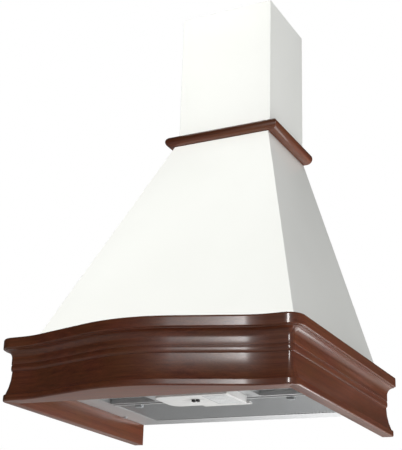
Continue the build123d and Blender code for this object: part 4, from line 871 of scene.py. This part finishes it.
# ---------------------------------------------------------------- control and lamp unit
# White ABS moulding screwed under the panel: round at its left end, with two slots for the
# switches, a window for the lamp and a finger lip at the back.
unit_low, unit_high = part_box("control_housing")
unit_wall = 2 * mm
unit_right = 86 * mm
unit_back = wall - 238 * mm
end_radius = 22 * mm
right_radius = 1 * mm
foot_radius = 1.5 * mm
lip_left = -6 * mm
lip_right = 92 * mm
lip_sheet = 4 * mm
lip_radius = 1.2 * mm
housing = start_block("control_unit_housing", unit_low, Vector((unit_right, unit_back, unit_high.z)))
pick(housing, "FACE", lambda at, face: face.normal.z > 0.9)
bpy.ops.mesh.delete(type="FACE")
pick(housing, "EDGE", lambda at, edge: at.x < unit_low.x + tiny and rise(edge) > 5 * mm)
bpy.ops.mesh.bevel(offset=end_radius, segments=12, affect="EDGES")
pick(housing, "EDGE", lambda at, edge: at.x > unit_right - tiny and rise(edge) > 5 * mm)
bpy.ops.mesh.bevel(offset=right_radius, segments=3, affect="EDGES")
pick(housing, "FACE", lambda at, face: face.normal.z < -0.9)
bpy.ops.mesh.region_to_loop()
bpy.ops.mesh.bevel(offset=foot_radius, segments=4, affect="EDGES")
apply_modifier(housing, "SOLIDIFY", thickness=unit_wall, offset=-1, use_even_offset=True)
lip = start_block("finger_lip", Vector((lip_left, unit_back - foot_radius, unit_low.z)),
                  Vector((lip_right, unit_high.y, unit_low.z + lip_sheet)))
pick(lip, "EDGE", lambda at, edge: at.y > unit_high.y - tiny)
bpy.ops.mesh.bevel(offset=lip_radius, segments=3, affect="EDGES")
speed_low, speed_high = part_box("speed_knob")
light_low, light_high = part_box("light_knob")
slot_front = wall - 294.3 * mm
slot_back = wall - 291.7 * mm
speed_x = (speed_low.x + speed_high.x) / 2
light_x = (light_low.x + light_high.x) / 2
slot_past_knob = 1.6 * mm
slot_end = 3 * mm  # from the end of the switch block
cut_depth = 3 * mm
for left, right, front, back in (
    (lens_left, lens_right, lens_front, lens_back),
    (switch_low.x + slot_end, speed_x + slot_past_knob, slot_front, slot_back),
    (light_x - slot_past_knob, switch_high.x - slot_end, slot_front, slot_back),
):
    window = start_block("window_cutter", Vector((left, front, unit_low.z - cut_depth)),
                         Vector((right, back, unit_low.z + cut_depth)))
    cut_away(housing, window)
white_abs = moulded_plastic("white_abs", "#F3F3F1", 0.9, 0.38, IOR=1.54)
complete(housing, white_abs, "hood", ["control_housing"], edge=0.2 * mm)
complete(lip, white_abs, "hood", ["control_housing"])

# ---------------------------------------------------------------- lamp lens
# Opal polycarbonate window, snapped into the unit from above, with ribs across its face that
# spread the light.
lens_fit = 0.4 * mm
rib_pitch = 5 * mm
rib_height = 0.8 * mm
lens_flange = 1.6 * mm
lens_low = Vector((lens_left + lens_fit, lens_front + lens_fit, unit_low.z))
lens_high = Vector((lens_right - lens_fit, lens_back - lens_fit, unit_low.z + unit_wall))
lens = start_block("ribbed_lens", lens_low, lens_high)
pick(lens, "FACE", lambda at, face: face.normal.z > 0.9)
pull()
bpy.ops.transform.resize(value=(1 + 2 * unit_wall / (lens_high.x - lens_low.x),
                                1 + 2 * unit_wall / (lens_high.y - lens_low.y), 1),
                         center_override=(lens_low + lens_high) / 2)
pull(z=lens_flange)
rib_count = int((lens_high.x - lens_low.x) / rib_pitch)
rib_start = (lens_left + lens_right) / 2 - rib_count * rib_pitch / 2 + rib_pitch / 4
rib_lines = [rib_start + step * rib_pitch / 2 for step in range(2 * rib_count)]
for line in rib_lines:
    crease(lens, lambda at, face: face.normal.z < -0.9 and at.z < lens_low.z + tiny, (line, 0, 0), (1, 0, 0))
for left, right in zip(rib_lines[0::2], rib_lines[1::2]):
    pick(lens, "FACE", lambda at, face: face.normal.z < -0.9 and at.z < lens_low.z + tiny
         and left < at.x < right)
    pull(z=-rib_height)
face_out()
opal = moulded_plastic("opal_polycarbonate", "#F2F4F4", 1.2, 0.25, IOR=1.585, Transmission_Weight=0.12)
complete(lens, opal, "hood", ["lamp_lens"], edge=0.2 * mm)

# ---------------------------------------------------------------- switch knobs
# Two black ABS caps that slide left and right in their slots, each with grip ridges and a stem up
# into the switch.
cap_height = 4 * mm
stem_inset = 1.4 * mm
stem_share = 2 / 4.2  # of the inset's length from front to back
ridge_width = 0.55 * mm
groove_slope = 0.05 * mm
groove_depth = 0.35 * mm
black_abs = moulded_plastic("black_abs", "#1B1B1D", 0.6, 0.4, IOR=1.54)
for name, low, high in (("speed", speed_low, speed_high), ("light", light_low, light_high)):
    cap_high = Vector((high.x, high.y, low.z + cap_height))
    cap = start_block(f"{name}_slide_cap", low, cap_high)
    pick(cap, "FACE", lambda at, face: face.normal.z > 0.9)
    bpy.ops.mesh.inset(thickness=stem_inset)
    bpy.ops.transform.resize(value=(1, stem_share, 1), center_override=(low + cap_high) / 2)
    pull(z=high.z - cap_high.z)
    ridges = [(low.x + high.x) / 2 + step * ridge_width for step in range(-3, 4)]
    for line in ridges:
        crease(cap, lambda at, face: face.normal.z < -0.9, (line, 0, 0), (1, 0, 0))
    for left in ridges[0:6:2]:
        pick(cap, "FACE", lambda at, face: face.normal.z < -0.9 and left < at.x < left + ridge_width)
        bpy.ops.mesh.inset(thickness=groove_slope)
        bpy.ops.transform.translate(value=(0, 0, groove_depth))
    complete(cap, black_abs, f"{name}_slider", [f"{name}_knob"], edge=0.12 * mm)

# ---------------------------------------------------------------- lamp and switches
# Pearl bulb in a phenolic holder, and the moulded block of the two slide switches.
dress_solids(moulded_plastic("black_polyamide", "#202124", 0.8, 0.45, IOR=1.53), "switch_block")
dress_solids(moulded_plastic("ivory_phenolic", "#D9D2C2", 1.0, 0.35, IOR=1.6), "lamp_holder")
pearl = moulded_plastic("pearl_glass", "#F4F3EE", 1.5, 0.3, IOR=1.52, Transmission_Weight=0.6)
dress_solids(pearl, "lamp_bulb")

# ---------------------------------------------------------------- blower
# Two polypropylene half shells screwed together round a forward-curved impeller, with a wire grille
# over the inlet and a foam gasket on the outlet.
dress_solids(moulded_plastic("grey_polypropylene", "#5E6266", 1.2, 0.5, IOR=1.49), "fan_housing_left",
             "fan_housing_right")
dress_solids(moulded_plastic("black_polypropylene", "#26282A", 1.0, 0.45, IOR=1.49), "impeller")
dress_solids(moulded_plastic("powder_coated_wire", "#2E3032", 0.5, 0.5, IOR=1.5), "inlet_grille")
dress_solids(moulded_plastic("closed_cell_rubber", "#2A2A2A", 0.7, 0.8, IOR=1.52), "outlet_gasket",
             "motor_grommets")

# ---------------------------------------------------------------- motor
# Die-cast aluminium motor on rubber grommets; its steel shaft turns in two ball bearings and
# carries the impeller.
def cast_aluminium():
    """Die-cast aluminium: pale grey with the soft pebble of its die."""
    finish, place = open_finish("cast_aluminium")
    # pebble of 1.6 mm
    pebble = node(finish, "ShaderNodeTexNoise", {"Vector": place, "Scale": 1 / 0.0016, "Detail": 3})
    shade = node(finish, "ShaderNodeMixRGB",
                 {"Fac": pebble.outputs[0], "Color1": linear("#8C8F91"),
                  "Color2": linear("#B9BBBC")}).outputs[0]
    gloss = node(finish, "ShaderNodeMapRange",
                 {"Value": pebble.outputs[0], "To Min": 0.42, "To Max": 0.6}).outputs[0]
    return close_finish(finish, shade, gloss, pebble.outputs[0], 0.00012, Metallic=1)


dress_solids(cast_aluminium(), "motor_body")
dress_solids(satin_steel("ground_bearing_steel", "#A9ACAE", "#DADCDD"), "motor_bearings", "motor_shaft",
             "flap_spindle")

# ---------------------------------------------------------------- outlet flaps
# Two half-round aluminium flaps hang on one steel spindle across the spigot and fall shut when the
# blower stops.
dress_solids(bright_aluminium("rolled_aluminium", "#A9ACAE", "#CBCDCE"), "damper_flap_left",
             "damper_flap_right")

# ---------------------------------------------------------------- terminal box and cable gland
# Grey polycarbonate box on the back panel with its lid, terminal strip and the motor's capacitor;
# the mains lead would pass through the black gland in the top plate.
dress_solids(moulded_plastic("grey_polycarbonate", "#9A9EA1", 0.9, 0.4, IOR=1.585), "terminal_box",
             "terminal_box_lid")
dress_solids(moulded_plastic("ivory_polyamide", "#DDD8CB", 0.8, 0.45, IOR=1.53), "terminal_strip")
dress_solids(moulded_plastic("black_capacitor_case", "#2B2C2E", 0.7, 0.35, IOR=1.55), "capacitor")
dress_solids(moulded_plastic("black_gland_nylon", "#1D1E20", 0.8, 0.45, IOR=1.53), "cable_gland")

# ---------------------------------------------------------------- floor
# A plain pale studio floor far below the hood, which hangs on its wall.
floor_level = -1.6
floor_side = 14
floor = start_piece("studio_floor", bpy.ops.mesh.primitive_plane_add, (0, 0, floor_level),
                    (floor_side, floor_side, 1), size=1)
leave_editing()
pale, place = open_finish("pale_paint")
# roller stipple of 3 mm
stipple = node(pale, "ShaderNodeTexNoise", {"Vector": place, "Scale": 1 / 0.003})
paint = node(pale, "ShaderNodeMixRGB",
             {"Fac": stipple.outputs[0], "Color1": linear("#E9E9E7"),
              "Color2": linear("#F0F0EE")}).outputs[0]
close_finish(pale, paint, 0.8, stipple.outputs[0], 0.0002)
dress(floor, pale)

# ---------------------------------------------------------------- light
# Soft studio light: a surround that dims to the left, a broad key on the enamel and the white unit,
# a light from below and behind, and an upright soft box that draws the highlights on the lacquer.
surround = bpy.data.worlds.new("studio_surround")
surround.use_nodes = True
surround.node_tree.nodes.clear()
looking = node(surround, "ShaderNodeTexCoord", {})
compass = node(surround, "ShaderNodeSeparateXYZ", {0: looking.outputs["Generated"]})
dims_left = node(surround, "ShaderNodeMapRange",
                 {"Value": compass.outputs["X"], "From Min": -0.4, "From Max": 0.9,
                  "To Max": 1.1}).outputs[0]
seen = node(surround, "ShaderNodeBackground", {"Color": (1, 1, 1, 1), "Strength": 1.0})
cast = node(surround, "ShaderNodeBackground", {"Color": linear("#FDFDFF"), "Strength": dims_left})
dims_up = node(surround, "ShaderNodeMapRange",
               {"Value": compass.outputs["Z"], "From Min": -0.1, "From Max": 0.05, "To Min": 0.4,
                "To Max": 0.04}).outputs[0]
mirrored = node(surround, "ShaderNodeBackground", {"Color": linear("#FFFAF4"), "Strength": dims_up})
rays = node(surround, "ShaderNodeLightPath", {})
unseen = node(surround, "ShaderNodeMixShader", {"Fac": rays.outputs["Is Glossy Ray"], 1: cast.outputs[0],
                                                2: mirrored.outputs[0]})
both = node(surround, "ShaderNodeMixShader", {"Fac": rays.outputs["Is Camera Ray"], 1: unseen.outputs[0],
                                              2: seen.outputs[0]})
node(surround, "ShaderNodeOutputWorld", {"Surface": both.outputs[0]})
bpy.context.scene.world = surround
bpy.context.scene.view_settings.view_transform = "Standard"


def soft_box(name, at, target, width, height, power):
    """A rectangular light that faces its target."""
    lamp = bpy.data.lights.new(name, "AREA")
    lamp.shape = "RECTANGLE"
    lamp.size = width
    lamp.size_y = height
    lamp.energy = power
    held = bpy.data.objects.new(name, lamp)
    held.location = at
    held.rotation_euler = (Vector(target) - Vector(at)).to_track_quat("-Z", "Y").to_euler()
    bpy.context.collection.objects.link(held)
    return held


key_light = soft_box("key_light", (-1.3, -2.6, 2.3), (0, 0, 0.4), width=1.6, height=1.6, power=110)
key_light.visible_glossy = False
lit_by_key = bpy.data.collections.new("lit_by_key")
for piece in (canopy, lower_cover, upper_cover, housing, lip):
    lit_by_key.objects.link(piece)
key_light.light_linking.receiver_collection = lit_by_key
floor_bounce = soft_box("floor_bounce", (0.5, 1.0, floor_level), (0, 0, 0), width=2.6, height=2.6, power=82)
floor_bounce.visible_camera = False
front_box = soft_box("front_box", (0.94, -3.38, 0.8), (0.2, -0.3, 0.05), width=0.54, height=1.6, power=110)
front_box.visible_diffuse = False

# ---------------------------------------------------------------- camera
# The photograph's view: from the right, below the hood, looking up.
yaw = 0.5465
pitch = 0.3792
roll = 0.0594
place = (0.91641, -1.80394, -0.36606)
view_side = 450  # pixels along the longer side of the view
optics = bpy.data.cameras.new("photograph_view")
optics.lens = 85.8
optics.sensor_width = 36
# the view is cropped: its optical centre lies at pixel (125, 195), and its middle at (201, 225)
optics.shift_x = (201 - 125) / view_side
optics.shift_y = (195 - 225) / view_side
viewer = bpy.data.objects.new("photograph_view", optics)
turned = Matrix.Rotation(yaw, 4, "Z") @ Matrix.Rotation(math.pi / 2 + pitch, 4, "X")
viewer.matrix_world = Matrix.Translation(place) @ turned @ Matrix.Rotation(roll, 4, "Z")
bpy.context.collection.objects.link(viewer)
bpy.context.scene.camera = viewer
